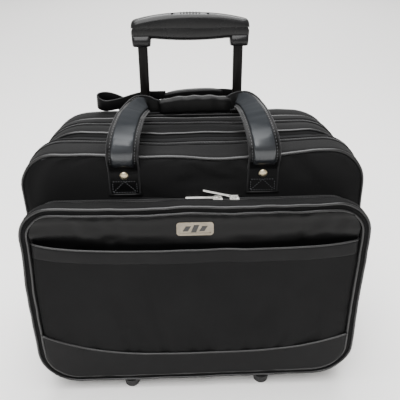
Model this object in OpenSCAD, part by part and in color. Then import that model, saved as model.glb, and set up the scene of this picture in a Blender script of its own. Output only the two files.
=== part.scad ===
// Rolling laptop case: three fabric sections on a base tray, a zipped front pocket,
// two carry handles, a two stage telescopic pull handle and two rear wheels.
// Millimetres. X runs to the right, Y runs to the back, Z is up, and the floor is Z = 0.

/* [Case] */
// Width over the side gussets
case_w = 430; // [410:2:450]
// Height of the front section's top
main_top = 341; // [336:1:350]
// Height of the laptop section's top
laptop_top = 345; // [340:1:352]
// Height of the rear section's top
rear_top = 343; // [340:1:350]
// Underside of the fabric sections
skirt_z = 16; // [16:1:18]
// Radius of the lower corners
low_r = 40; // [30:1:44]
// Padded fabric thickness
wall = 3; // [2:0.5:4]

/* [Front pocket] */
// Height of the pocket's top
pocket_top = 290; // [280:1:296]
// Height at which the pocket's flap folds
fold_z = 84; // [80:1:100]
// Height of the slip pocket's mouth
slip_top = 231; // [210:1:236]
// Width of the slip pocket
slip_w = 394; // [360:2:396]

/* [Pull handle] */
// Distance between the two tubes
tube_gap = 128; // [110:1:134]
// How far the handle stands out of its stowed place at rest
lift = 113; // [60:1:130]
// Width of the grip
grip_w = 156; // [150:1:160]

/* [Wheels] */
// Wheel radius
wheel_r = 25; // [23:0.5:25]
// Wheel width
wheel_w = 20; // [16:1:22]
// Distance of each wheel's middle from the middle of the case
wheel_x = 186; // [184:1:187]

/* [Hidden] */

gap = 0.3;            // clearance between neighbouring sections
front_y = -103;       // foremost face, the slip pocket's sheet
flap_y = -95;         // face of the flap behind the slip pocket
bucket_y = -101;      // face of the pocket's lower part
main_y = -50;         // face of the front section
main_split = -12;     // the front section's zip parts here
laptop_y = 7;         // crease between the front and laptop sections
laptop_split = 41;    // the laptop section's zip parts here
rear_y = 62;          // crease between the laptop and rear sections
board_y = 96;         // front face of the back panel
board_t = 2.6;        // back panel thickness
top_r = [42, 48, 58, 55];  // upper corner radii: pocket, front, laptop, rear
zip_depth = 4.8;      // width of a zip strip
pocket_zip_depth = 8;
zip_end_z = 96;       // height at which the side zips end
zip_inset = 14;       // how far the pocket zip lies inside the pocket's outline

tube_y = 83;          // middle of the pull handle's tubes
tube_x = tube_gap / 2;
tube_sizes = [[19, 17], [16, 14], [13, 11]];  // outer, middle and inner tube sections
tube_wall = 1.2;
outer_z = [24, 321];
mid_z = [26, 323];
inner_z = [29 + lift, 343 + lift];
pin_rise = 12;                // height of a lock pin above its tube's lower end
lock_z = [29 + pin_rise, 290];  // where the pins lock: stowed, and pulled right out
cup_z = [315, 345];
cup_floor = 325;
cup_half = 92;

grip_low = 326 + lift;        // underside of the grip's collars
grip_split = grip_low + 23;   // joint between the grip's two shells
grip_top = grip_low + 41;
grip_half = grip_w / 2;
grip_d = 22;                  // grip depth
yoke_z = [grip_split - 1, grip_split + 3];
button_half = 24;

wheel_y = 75;
axle_r = 3;
bearing_r = 8;
hub_r = 17;
housing_y = [44, 98];
housing_x = 165;
housing_top = 60;
housing_r = 28;       // lower corner radius of the wheel housings
axle_end = 208;

strap_x = 86;
patch_z = [284, 321];
rivet_z = 310;
patch_y = -51.8;

function arc(cx, cz, r, a0, a1, n = 6) =
  [for (i = [0:n]) let (a = a0 + (a1 - a0) * i / n) [cx + r * cos(a), cz + r * sin(a)]];

// Rounded outline in the XZ plane, with its own upper and lower corner radii
function outline(w, z0, z1, rt, rb) = concat(
  arc(w / 2 - rt, z1 - rt, rt, 0, 90),
  arc(-w / 2 + rt, z1 - rt, rt, 90, 180),
  arc(-w / 2 + rb, z0 + rb, rb, 180, 270),
  arc(w / 2 - rb, z0 + rb, rb, 270, 360)
);

// An outline drawn inwards by d on every side
function inset(w, z0, z1, rt, rb, d) =
  outline(w - 2 * d, z0 + d, z1 - d, max(rt - d, 1), max(rb - d, 1));

// A plate with an XZ outline, from y0 to y1
module slab(points, y0, y1) {
  translate([0, y1, 0]) rotate([90, 0, 0]) linear_extrude(y1 - y0) polygon(points);
}

module block(x0, x1, y0, y1, z0, z1) {
  translate([x0, y0, z0]) cube([x1 - x0, y1 - y0, z1 - z0]);
}

module keep_above(z) { block(-300, 300, -200, 200, z, 600); }

module keep_below(z) { block(-300, 300, -200, 200, -10, z); }

// A padded gusset, open at the front and the back
module gusset(top, rt, y0, y1) {
  difference() {
    slab(outline(case_w, skirt_z, top, rt, low_r), y0, y1);
    slab(inset(case_w, skirt_z, top, rt, low_r, wall), y0 - 1, y1 + 1);
  }
}

// A shallow padded box, open towards +Y
module tray(top, rt, y0, y1) {
  difference() {
    slab(outline(case_w, skirt_z, top, rt, low_r), y0, y1);
    slab(inset(case_w, skirt_z, top, rt, low_r, wall), y0 + wall, y1 + 1);
  }
}

// A band that follows an outline, t thick
module band(w, z0, z1, rt, rb, t, y0, y1) {
  difference() {
    slab(outline(w, z0, z1, rt, rb), y0, y1);
    slab(inset(w, z0, z1, rt, rb, t), y0 - 1, y1 + 1);
  }
}

// The zip strip closes the rear edge of a section above the zip's ends
module zip_strip(top, rt, y1) {
  intersection() {
    band(case_w - 1, skirt_z + 0.5, top - 0.5, rt - 0.5, low_r - 0.5, 2,
         y1 - zip_depth, y1 - gap);
    keep_above(zip_end_z + gap);
  }
}

module zip_notch(y1) {
  block(-300, 300, y1 - zip_depth - gap, y1 + 2, zip_end_z, 600);
}

module on_side(s) {
  if (s > 0) children();
  else mirror([1, 0, 0]) children();
}

module rod_x(r, x0, x1, y, z) {
  translate([x0, y, z]) rotate([0, 90, 0]) cylinder(r = r, h = x1 - x0, $fn = 48);
}

module rod_y(r, y0, y1, x, z) {
  translate([x, y0, z]) rotate([-90, 0, 0]) cylinder(r = r, h = y1 - y0, $fn = 48);
}

function unit(v) = v / norm(v);
function heading(p, i) = unit(p[min(i + 1, len(p) - 1)] - p[max(i - 1, 0)]);

// Four corners of a strap's section at point i of its path
function strap_ring(p, across, w, t, i) =
  let (h = heading(p, i), a = unit(across[i] - (across[i] * h) * h), u = cross(h, a))
  [for (k = [[1, 1], [-1, 1], [-1, -1], [1, -1]])
    p[i] + a * k[0] * w[i] / 2 + u * k[1] * t / 2];

// The two sides of a twisted strap split along the same diagonals, so it keeps its thickness
function tube_faces(rings, sides) = concat(
  [[for (k = [0:sides - 1]) k]],
  [for (i = [0:rings - 2], k = [0:sides - 1])
    let (a = i * sides + k, b = i * sides + (k + 1) % sides)
      each k < sides / 2 ? [[a, a + sides, b], [b, a + sides, b + sides]]
                         : [[a, a + sides, b + sides], [a, b + sides, b]]],
  [[for (k = [sides - 1:-1:0]) (rings - 1) * sides + k]]
);

// A flat strap along a path; across gives the direction of its width at each point
module strap(path, across, widths, t) {
  polyhedron(
    [for (i = [0:len(path) - 1]) each strap_ring(path, across, widths, t, i)],
    tube_faces(len(path), 4)
  );
}

// ---- Base, rear section and back ----

module base_tray() {
  color("dimgray") translate([0, 0, 12]) linear_extrude(skirt_z - gap - 12) polygon([
    [-172, -94], [172, -94], [172, housing_y[0] - 2], [housing_x - 3, housing_y[0] - 2],
    [housing_x - 3, board_y], [3 - housing_x, board_y], [3 - housing_x, housing_y[0] - 2],
    [-172, housing_y[0] - 2]
  ]);
}

module foot(s) {
  color("black") translate([s * 92, -89, 0]) rotate_extrude($fn = 48)
    polygon([[0, 0], [9, 0], [10, 1.5], [11, 12], [0, 12]]);
}

module rear_shell() {
  color("black") difference() {
    union() {
      gusset(laptop_top, top_r[2], laptop_split, rear_y + wall);
      tray(rear_top, top_r[3], rear_y, board_y - gap);
    }
    block(-cup_half - gap, cup_half + gap, 69, 120, cup_z[0] - gap, 400);
    for (s = [-1, 1]) on_side(s)
      block(housing_x - gap, 300, housing_y[0] - 1, 120, 0, housing_top + gap);
  }
}

module back_panel() {
  color("black") difference() {
    slab(outline(case_w - 4, skirt_z + 2, rear_top - 2, top_r[3] - 2, low_r - 2),
         board_y, board_y + board_t);
    block(-cup_half - gap, cup_half + gap, 69, 120, cup_z[0] - gap, 400);
    for (s = [-1, 1]) on_side(s) block(housing_x - gap, 300, 0, 120, 0, housing_top + gap);
    for (x = [-60, -20, 20, 60]) rod_y(2.2, 90, 110, x, 29);
  }
}

module kick_plate() {
  color("dimgray") difference() {
    slab(outline(300, 19, 64, 12, 8), board_y + board_t, 101);
    for (x = [-60, -20, 20, 60]) rod_y(2.2, 90, 110, x, 29);
  }
}

module handle_cup() {
  color("dimgray") difference() {
    block(-cup_half, cup_half, 69.4, 97.2, cup_z[0], cup_z[1]);
    block(-grip_half - 2, grip_half + 2, 71.4, 94.6, cup_floor, cup_z[1] + 1);
    for (s = [-1, 1]) {
      tube_hole(s, 0, cup_z[0] - 1, outer_z[1] + gap);
      tube_hole(s, 1, outer_z[1], cup_floor + 1);
    }
  }
}

function tube_section(size) =
  let (x = size[0] / 2, y = size[1] / 2, r = 3)
  concat(arc(x - r, y - r, r, 0, 90, 3), arc(r - x, y - r, r, 90, 180, 3),
         arc(r - x, r - y, r, 180, 270, 3), arc(x - r, r - y, r, 270, 360, 3));

// Room for tube stage k, with a sliding gap
module tube_hole(s, k, z0, z1) {
  translate([s * tube_x, tube_y, z0]) linear_extrude(z1 - z0)
    polygon(tube_section([for (d = tube_sizes[k]) d + 0.6]));
}

module tube(s, k, z) {
  difference() {
    translate([s * tube_x, tube_y, z[0]]) linear_extrude(z[1] - z[0])
      polygon(tube_section(tube_sizes[k]));
    translate([s * tube_x, tube_y, z[0] - 1]) linear_extrude(z[1] - z[0] + 2)
      polygon(tube_section([for (d = tube_sizes[k]) d - 2 * tube_wall]));
  }
}

module outer_tube(s) { color("#161616") tube(s, 0, outer_z); }

module tube_bracket() {
  color("dimgray") difference() {
    block(-80, 80, 70, board_y - gap, skirt_z + wall + gap, 38);
    for (s = [-1, 1]) tube_hole(s, 0, outer_z[0] - gap, 40);
    for (x = [-60, -20, 20, 60]) rod_y(2.02, 92.6, 100, x, 29);
  }
}

module bracket_screws() {
  color("silver") for (x = [-60, -20, 20, 60]) {
    rod_y(2, 93, 101.2, x, 29);
    difference() {
      rod_y(4, 101.2, 103, x, 29);
      rod_y(1.4, 102, 104, x, 29);
    }
  }
}

module wheel_housing(s) {
  color("dimgray") on_side(s) difference() {
    intersection() {
      slab(outline(case_w + 1, skirt_z - 1.5, rear_top, 20, housing_r),
           housing_y[0], housing_y[1]);
      block(housing_x, 300, 0, 200, 0, housing_top);
    }
    rod_x(wheel_r + 2.5, wheel_x - wheel_w / 2 - 2, wheel_x + wheel_w / 2 + 2,
          wheel_y, wheel_r);
    block(wheel_x - wheel_w / 2 - 2, wheel_x + wheel_w / 2 + 2,
          wheel_y - wheel_r - 2.5, 120, 0, wheel_r);
    rod_x(axle_r + 0.02, housing_x - 1, 300, wheel_y, wheel_r);
  }
}

module axle(s) {
  color("silver") on_side(s) {
    rod_x(axle_r, housing_x + 0.5, axle_end, wheel_y, wheel_r);
  }
}

module laptop_zip() { color("#1c1c1c") zip_strip(laptop_top, top_r[2], laptop_split); }

module rear_strap_patches() {
  color("black") for (s = [-1, 1]) on_side(s)
    block(strap_x - 18, strap_x + 18, board_y + board_t, 100.4, 262, 300);
}

// ---- Wheels ----

module tyre(s) {
  color("#222222") on_side(s) translate([wheel_x, wheel_y, wheel_r]) rotate([0, 90, 0])
    rotate_extrude($fn = 96) polygon([
      [hub_r + 0.02, -wheel_w / 2 + 1], [hub_r + 0.02, wheel_w / 2 - 1],
      [wheel_r - 3, wheel_w / 2], [wheel_r - 0.6, wheel_w / 2 - 3],
      [wheel_r, wheel_w / 4], [wheel_r, -wheel_w / 4],
      [wheel_r - 0.6, 3 - wheel_w / 2], [wheel_r - 3, -wheel_w / 2]
    ]);
}

module hub(s) {
  color("gray") on_side(s) translate([wheel_x, wheel_y, wheel_r]) rotate([0, 90, 0])
    difference() {
      rotate_extrude($fn = 96) polygon([
        [bearing_r + 0.02, -8], [bearing_r + 0.02, 8], [bearing_r + 2, 8],
        [bearing_r + 2.5, 3], [hub_r - 2, 3], [hub_r - 1.6, 8.5], [hub_r, 8.5],
        [hub_r, -8.5], [hub_r - 1.6, -8.5], [hub_r - 2, -3],
        [bearing_r + 2.5, -3], [bearing_r + 2, -8]
      ]);
      for (a = [0:72:359]) rotate([0, 0, a]) translate([12.8, 0, -5])
        cylinder(r = 1.6, h = 10, $fn = 32);
    }
}

module bearings(s) {
  color("silver") on_side(s) for (e = [-1, 1])
    translate([wheel_x + e * 5.5 - 2.5, wheel_y, wheel_r]) rotate([0, 90, 0]) difference() {
      cylinder(r = bearing_r, h = 5, $fn = 64);
      translate([0, 0, -1]) cylinder(r = axle_r + 0.05, h = 7, $fn = 64);
    }
}

// ---- Telescopic handle ----

module mid_tube(s) {
  color("#161616") difference() {
    tube(s, 1, mid_z);
    for (z = lock_z)
      rod_x(2.7, s * tube_x - 12, s * tube_x + 12, tube_y, z);
  }
}

module inner_tube(s) {
  color("#161616") difference() {
    tube(s, 2, inner_z);
    on_side(s) rod_x(2.6, tube_x + 3, tube_x + 12, tube_y, inner_z[0] + pin_rise);
  }
}

// The crowned top edge of the grip, from left to right
function grip_crown() =
  [for (i = [0:10]) let (u = i / 5 - 1)
    [u * (grip_half - 1), grip_top - 2 - 9 * u * u]];

module grip_upper() {
  color("#303030") difference() {
    slab(concat([[grip_half, grip_split + gap], [-grip_half, grip_split + gap]],
                grip_crown()), tube_y - grip_d / 2, tube_y + grip_d / 2);
    block(-button_half - 0.6, button_half + 0.6, tube_y - 7.1, tube_y + 7.1,
          grip_split + 4.8, grip_top + 5);
    block(-tube_x - 5, tube_x + 5, tube_y - 5, tube_y + 5, grip_split - 1, grip_split + 5);
  }
}

module grip_lower() {
  color("#303030") difference() {
    slab([[-grip_half, grip_split], [-grip_half + 2, grip_low],
          [-tube_x + 11, grip_low], [-tube_x + 11, grip_low + 5],
          [-tube_x + 16, grip_low + 9], [-20, grip_low + 7], [20, grip_low + 7],
          [tube_x - 16, grip_low + 9], [tube_x - 11, grip_low + 5],
          [tube_x - 11, grip_low], [grip_half - 2, grip_low], [grip_half, grip_split]],
         tube_y - grip_d / 2, tube_y + grip_d / 2);
    for (s = [-1, 1]) tube_hole(s, 2, grip_low - 1, inner_z[1] + 2);
    block(-tube_x - 5, tube_x + 5, tube_y - 5, tube_y + 5, grip_split - 5, grip_split + 1);
    translate([0, tube_y, grip_split - 12]) cylinder(r = 5.5, h = 9, $fn = 48);
  }
}

// Coil spring under the button's yoke
module button_spring() {
  turns = 5;
  steps = 16;
  z0 = grip_split - 11.4;
  z1 = yoke_z[0] - 0.7;
  ring = function (i) let (a = 360 * i / steps)
    [for (k = [0:5]) let (b = 60 * k, r = 3.6 + 0.45 * cos(b))
      [r * cos(a), tube_y + r * sin(a),
       z0 + (z1 - z0) * i / (turns * steps) + 0.45 * sin(b)]];
  color("silver") polyhedron([for (i = [0:turns * steps]) each ring(i)],
                             tube_faces(turns * steps + 1, 6));
}

module release_button() {
  color("#505050") {
    block(-button_half, button_half, tube_y - 6.5, tube_y + 6.5, grip_split + 8.5,
          grip_top + 0.5);
    block(-20, 20, tube_y - 4.5, tube_y + 4.5, yoke_z[1], grip_split + 8.5);
  }
}

module push_rods() {
  color("silver") {
    block(-tube_x - 4, tube_x + 4, tube_y - 4, tube_y + 4, yoke_z[0], yoke_z[1]);
    for (s = [-1, 1]) translate([s * tube_x, tube_y, inner_z[0] + 19])
      cylinder(r = 1.5, h = yoke_z[0] - inner_z[0] - 19, $fn = 32);
  }
}

module lock_pin(s) {
  color("silver") on_side(s) {
    rod_x(2.5, tube_x - 2, tube_x + 6.6, tube_y, inner_z[0] + pin_rise);
  }
}

// ---- Laptop section ----

module laptop_shell() {
  color("black") difference() {
    union() {
      gusset(main_top, top_r[1], main_split, laptop_y + wall);
      tray(laptop_top, top_r[2], laptop_y, laptop_split - gap);
    }
    zip_notch(laptop_split);
  }
}

module laptop_pad() {
  color("#3a3a3a") slab(outline(case_w - 30, housing_top + 3, 300, 30, 12),
                        rear_y - 7, rear_y - gap);
}

module main_zip() { color("#1c1c1c") zip_strip(main_top, top_r[1], main_split); }

// ---- Front section and pocket ----

module main_shell() {
  color("black") difference() {
    tray(main_top, top_r[1], main_y, main_split - gap);
    zip_notch(main_split);
  }
}

module pocket_bucket() {
  color("#181818") intersection() {
    difference() {
      slab(outline(case_w, skirt_z, pocket_top, top_r[0], low_r), bucket_y, main_y - gap);
      slab(inset(case_w, skirt_z, pocket_top, top_r[0], low_r, wall),
           bucket_y + wall, main_y + 1);
    }
    keep_below(fold_z - gap);
  }
}

module organiser_panel() {
  color("#2a2a2a") {
    slab(outline(300, 96, 236, 12, 8), -52.6, main_y - gap);
    for (x = [-90, 0, 90]) slab(outline(76, 110, 190, 4, 8), -54.6, -52);
  }
}

module pocket_zip() {
  color("#1c1c1c") intersection() {
    band(case_w - 2 * zip_inset, skirt_z + zip_inset, pocket_top - zip_inset,
         top_r[0] - 8, low_r - 8, 2, main_y - pocket_zip_depth, main_y - gap);
    keep_above(zip_end_z);
  }
}

module strap_patches() {
  color("black") for (s = [-1, 1]) on_side(s)
    block(strap_x - 21, strap_x + 21, patch_y, main_y - gap, patch_z[0], patch_z[1]);
}

module strap_rivets() {
  color("wheat") for (s = [-1, 1])
    translate([s * strap_x, patch_y, rivet_z]) rotate([90, 0, 0]) {
      rotate_extrude($fn = 48) polygon([[0, 0], [5.5, 0], [5.2, 1.2], [3.6, 2.2], [0, 2.6]]);
    }
}

// ---- Flap ----

module flap_shell() {
  color("black") intersection() {
    difference() {
      slab(outline(case_w, skirt_z, pocket_top, top_r[0], low_r),
           flap_y, main_y - pocket_zip_depth - gap);
      slab(inset(case_w, skirt_z, pocket_top, top_r[0], low_r, wall), flap_y + wall, 0);
    }
    keep_above(fold_z + gap);
  }
}

module slip_pocket() {
  color("#1e1e1e") difference() {
    block(-slip_w / 2, slip_w / 2, front_y, flap_y - 0.2, fold_z + gap, slip_top);
    block(1.6 - slip_w / 2, slip_w / 2 - 1.6, front_y + 1.6, flap_y, fold_z + 2, 300);
  }
}

module name_plate() {
  color("wheat") difference() {
    slab(outline(45, 250, 268.4, 4, 4), flap_y - 3, flap_y - 0.1);
    slab(outline(39, 253, 265.4, 2.5, 2.5), flap_y - 4, flap_y - 2.4);
  }
}

// ---- Carry handles ----

// Half of the front handle, from its patch over the top to its grip
FRONT_PATH = [
  [86, -55.5, 323], [86, -61, 335], [85, -61, 349], [82, -48, 363], [77, -20, 374],
  [70, 10, 378], [64, 30, 378], [59, 41, 373], [53, 46, 369]
];
FRONT_ACROSS = [
  [1, 0, 0], [1, 0, 0], [1, 0, 0], [1, 0, 0.1], [1, 0.05, 0.2],
  [0.8, 0.1, 0.5], [0.6, 0.2, 0.7], [0.3, 0.2, 0.9], [0, 0, 1]
];
FRONT_WIDTHS = [42, 42, 42, 40, 36, 30, 26, 22, 18];

module front_handle_straps() {
  color("black") for (s = [-1, 1]) on_side(s)
    strap(FRONT_PATH, FRONT_ACROSS, FRONT_WIDTHS, 4);
}

module front_handle_grip() {
  color("black") slab(outline(99, 358, 379, 9, 9), 43.5, 56);
}

// The rear handle's left strap bows out beyond the case before it returns to the grip
LOOP_PATH = [
  [86, 101.2, 302], [86, 101.2, 322], [88, 102.2, 336], [95, 102.6, 349], [106, 96, 355.5],
  [120, 92, 357], [131, 90, 361.5], [122, 91, 368], [98, 96, 367], [72, 99.5, 364],
  [44, 99.5, 364]
];
LOOP_ACROSS = [
  [1, 0, 0], [1, 0, 0], [1, 0, -0.1], [0.95, -0.12, -0.2], [0.5, -0.85, -0.1],
  [0, -1, 0], [0, -1, 0], [0, -1, 0], [0, -0.5, -0.8], [0, 0, -1], [0, 0, -1]
];
LOOP_WIDTHS = [30, 28, 24, 21, 20, 18, 18, 18, 14, 13, 13];

// Its right strap goes straight up to the grip
RISE_PATH = [
  [86, 101.2, 302], [86, 101.2, 322], [85, 101.8, 338], [81, 101.8, 351], [72, 100.8, 360],
  [60, 99.8, 364], [44, 99.5, 364]
];
RISE_ACROSS = [
  [1, 0, 0], [1, 0, 0], [1, 0, 0.2], [0.85, 0, 0.5], [0.5, 0, 0.85], [0.1, 0, 1], [0, 0, 1]
];
RISE_WIDTHS = [30, 27, 22, 18, 15, 13, 13];

module rear_handle_straps() {
  color("black") {
    on_side(-1) strap(LOOP_PATH, LOOP_ACROSS, LOOP_WIDTHS, 2.6);
    strap(RISE_PATH, RISE_ACROSS, RISE_WIDTHS, 2.6);
  }
}

module rear_handle_grip() {
  color("black") slab(outline(87, 355, 373, 9, 7), 97, 102.8);
}

// ---- Zip sliders, drawn flat with the tape in the XY plane and the pivot at [0, 0, 2.6] ----

module slider_body() {
  color("silver") {
    linear_extrude(1.6)
      polygon([[-6, -3], [6, -4.2], [6, 4.2], [-6, 3]]);
    difference() {
      block(-4.4, 4.4, -1, 1, 1.6, 5);
      block(-3.2, 3.2, -2, 2, 1.6, 3.9);
    }
  }
}

// A pull tab hanging towards -X from the slider's bridge
module pull_tab(long) {
  color("silver") translate([0, 0, 2.8]) difference() {
    linear_extrude(1.1, center = true) polygon([
      [0.7, -2.6], [0.7, 2.6], [-9, 2.6], [-12, 2], [-long + 2, 2], [-long, 1.2],
      [-long, -1.2], [-long + 2, -2], [-12, -2], [-9, -2.6]
    ]);
    block(-8, -0.6, -1.5, 1.5, -2, 2);
  }
}

POCKET_SLIDERS = [[30, 0], [51, 14]];  // place along the pocket zip, and the pull's rise
slider_y = main_y - 4.8;
slider_z = pocket_top - zip_inset + gap;

module pocket_slider(k) {
  translate([POCKET_SLIDERS[k][0], slider_y, slider_z]) slider_body();
}

module pocket_pull(k) {
  translate([POCKET_SLIDERS[k][0], slider_y, slider_z + 2.8])
    rotate([0, POCKET_SLIDERS[k][1], 0]) translate([0, 0, -2.8]) pull_tab(41);
}

// The side sliders stand at the zips' lower ends: the tape's face points outwards
module side_place(s, y) {
  on_side(s) translate([case_w / 2 + gap, y, 118]) rotate([0, 90, 0]) rotate([0, 0, 180])
    children();
}

module side_slider(s, y) { side_place(s, y) slider_body(); }

module side_pull(s, y) { side_place(s, y) pull_tab(30); }

base_tray();
foot(-1);  // foot_left
foot(1);  // foot_right
rear_shell();
back_panel();
kick_plate();
handle_cup();
outer_tube(-1);  // outer_tube_left
outer_tube(1);  // outer_tube_right
tube_bracket();
bracket_screws();
wheel_housing(-1);  // wheel_housing_left
wheel_housing(1);  // wheel_housing_right
axle(-1);  // axle_left
axle(1);  // axle_right
laptop_zip();
rear_strap_patches();
tyre(-1);  // tyre_left
tyre(1);  // tyre_right
hub(-1);  // hub_left
hub(1);  // hub_right
bearings(-1);  // bearings_left
bearings(1);  // bearings_right
mid_tube(-1);  // mid_tube_left
mid_tube(1);  // mid_tube_right
inner_tube(-1);  // inner_tube_left
inner_tube(1);  // inner_tube_right
grip_upper();
grip_lower();
button_spring();
release_button();
push_rods();
lock_pin(-1);  // lock_pin_left
lock_pin(1);  // lock_pin_right
laptop_shell();
laptop_pad();
main_zip();
main_shell();
pocket_bucket();
organiser_panel();
pocket_zip();
strap_patches();
strap_rivets();
flap_shell();
slip_pocket();
name_plate();
front_handle_straps();
front_handle_grip();
rear_handle_straps();
rear_handle_grip();
pocket_slider(0);  // pocket_slider_left
pocket_slider(1);  // pocket_slider_right
pocket_pull(0);  // pocket_pull_left
pocket_pull(1);  // pocket_pull_right
side_slider(1, main_split - 0.4);  // main_slider
side_pull(1, main_split - 0.4);  // main_pull
side_slider(-1, laptop_split - 0.4);  // laptop_slider
side_pull(-1, laptop_split - 0.4);  // laptop_pull
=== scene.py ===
"""Soft goods, trims and finishes of a rolling laptop case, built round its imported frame.

Lengths in the classes are millimetres in the frame's own axes: X to the right, Y to the
back, Z up, with the floor at Z = 0. A mesh is turned into metres when it is made.
"""

import logging
import math
from dataclasses import dataclass
from enum import Enum
from typing import Any, Callable, Sequence, Union

import bmesh
import bpy
import numpy as np
from mathutils import Matrix, Vector, noise


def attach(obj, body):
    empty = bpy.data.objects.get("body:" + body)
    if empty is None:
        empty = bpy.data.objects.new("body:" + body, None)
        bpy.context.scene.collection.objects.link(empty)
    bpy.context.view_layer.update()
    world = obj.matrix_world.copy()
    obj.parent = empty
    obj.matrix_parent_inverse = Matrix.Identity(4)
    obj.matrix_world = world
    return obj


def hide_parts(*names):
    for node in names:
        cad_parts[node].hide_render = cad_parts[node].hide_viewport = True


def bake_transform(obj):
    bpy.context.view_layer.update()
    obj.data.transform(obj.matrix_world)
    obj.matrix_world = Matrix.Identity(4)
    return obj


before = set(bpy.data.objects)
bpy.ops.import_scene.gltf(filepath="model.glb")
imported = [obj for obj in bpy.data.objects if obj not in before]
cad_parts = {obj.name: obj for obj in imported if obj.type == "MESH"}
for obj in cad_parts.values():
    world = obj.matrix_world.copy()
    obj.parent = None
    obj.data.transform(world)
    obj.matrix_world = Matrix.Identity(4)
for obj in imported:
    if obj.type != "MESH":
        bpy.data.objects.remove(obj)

MM = 0.001
TINY = 1e-9
LOG = logging.getLogger("laptop_case")
Colour = tuple[float, float, float]
Array = np.ndarray
Number = Union[int, float, "Value"]
Box = tuple[Sequence[float], Sequence[float]]


# ---------------------------------------------------------------- shader expressions


def operator(operation: str, flipped: bool = False) -> Callable[["Value", Number], "Value"]:
    """An arithmetic method of Value, which adds a Math node.

    Args:
        operation: the node's operation.
        flipped: whether the other term comes first.

    Returns:
        The method.
    """
    def method(self: "Value", other: Number) -> "Value":
        """Joins self and other."""
        return self.recipe.math(operation, *((other, self) if flipped else (self, other)))

    return method


class Value:
    """A socket of a material's nodes that arithmetic turns into Math nodes."""

    def __init__(self, recipe: "Recipe", socket: Any) -> None:
        """Keeps the socket and the recipe that it belongs to.

        Args:
            recipe: the material being written.
            socket: the output socket that carries the number.
        """
        self.recipe = recipe
        self.socket = socket

    __add__, __radd__ = operator("ADD"), operator("ADD", True)
    __sub__, __rsub__ = operator("SUBTRACT"), operator("SUBTRACT", True)
    __mul__, __rmul__ = operator("MULTIPLY"), operator("MULTIPLY", True)
    __truediv__, __rtruediv__ = operator("DIVIDE"), operator("DIVIDE", True)
    __gt__ = operator("GREATER_THAN")

    def sine(self) -> "Value":
        """The sine of self."""
        return self.recipe.math("SINE", self)

    def clamp(self) -> "Value":
        """self held between 0 and 1."""
        return self.recipe.value("ShaderNodeClamp", inputs={"Value": self})


class Recipe:
    """A material being written: its node tree and its Principled shader."""

    def __init__(self, name: str, **uniform: Any) -> None:
        """Starts a material.

        Args:
            name: the material's name.
            uniform: shader inputs that are the same all over, with _ for spaces.
        """
        self.material = bpy.data.materials.new(name)
        self.material.use_nodes = True
        self.tree = self.material.node_tree
        self.tree.nodes.clear()
        self.shader = self.node("ShaderNodeBsdfPrincipled")
        for key, amount in uniform.items():
            self.shader.inputs[key.replace("_", " ")].default_value = amount
        out = self.node("ShaderNodeOutputMaterial")
        self.tree.links.new(self.shader.outputs[0], out.inputs["Surface"])

    def node(self, kind: str, settings: dict[str, Any] | None = None,
             inputs: dict[Any, Any] | None = None) -> Any:
        """Adds a node.

        Args:
            kind: the node's type.
            settings: its properties, set first.
            inputs: values, Values or sockets by input name or index.

        Returns:
            The new node.
        """
        made = self.tree.nodes.new(kind)
        for key, choice in (settings or {}).items():
            setattr(made, key, choice)
        for key, given in (inputs or {}).items():
            self.plug(made.inputs[key], given)
        return made

    def plug(self, target: Any, given: Any) -> None:
        """Links a Value or socket to an input, or sets the input to a plain value.

        Args:
            target: the input.
            given: the Value, the socket or the plain value.
        """
        if isinstance(given, Value):
            given = given.socket
        if isinstance(given, bpy.types.NodeSocket):
            self.tree.links.new(given, target)
        elif isinstance(given, tuple) and len(given) == 3 and target.type == "RGBA":
            target.default_value = (*given, 1.0)
        else:
            target.default_value = given

    def value(self, kind: str, settings: dict[str, Any] | None = None,
              inputs: dict[Any, Any] | None = None) -> Value:
        """Adds a node and returns its first output as a Value."""
        return Value(self, self.node(kind, settings, inputs).outputs[0])

    def math(self, operation: str, *terms: Number) -> Value:
        """Adds a Math node on one or two terms."""
        return self.value("ShaderNodeMath", {"operation": operation},
                          dict(enumerate(terms)))

    def mix(self, share: Number, first: Any, second: Any) -> Any:
        """Mixes two colours and returns the colour socket."""
        made = self.node("ShaderNodeMix", {"data_type": "RGBA"},
                         {0: share, 6: first, 7: second})
        return made.outputs[2]

    def place(self) -> tuple[Any, Value, Value, Value]:
        """The point on the object in metres, as a vector and as three Values."""
        point = self.node("ShaderNodeTexCoord").outputs["Object"]
        parts = self.node("ShaderNodeSeparateXYZ", inputs={0: point})
        return (point, *(Value(self, s) for s in parts.outputs))

    def noise(self, point: Any, scale: float, detail: float = 2.0) -> Value:
        """Smooth noise between 0 and 1, with scale in waves per metre."""
        return self.value("ShaderNodeTexNoise", None,
                          {"Vector": point, "Scale": scale, "Detail": detail})

    def stretch(self, point: Any, factors: tuple[float, float, float]) -> Any:
        """Multiplies a vector part by part."""
        return self.node("ShaderNodeVectorMath", {"operation": "MULTIPLY"},
                         {0: point, 1: factors}).outputs[0]

    def bump(self, height: Value, depth: float, strength: float = 1.0) -> None:
        """Feeds a height, depth metres tall, to the shader's normal."""
        made = self.node("ShaderNodeBump", None,
                         {"Height": height, "Distance": depth, "Strength": strength})
        self.plug(self.shader.inputs["Normal"], made.outputs[0])

    def surface(self, colour: Any, roughness: Number) -> bpy.types.Material:
        """Feeds the shader's colour and roughness and returns the material."""
        self.plug(self.shader.inputs["Base Color"], colour)
        self.plug(self.shader.inputs["Roughness"], roughness)
        return self.material


# ---------------------------------------------------------------- finishes


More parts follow.
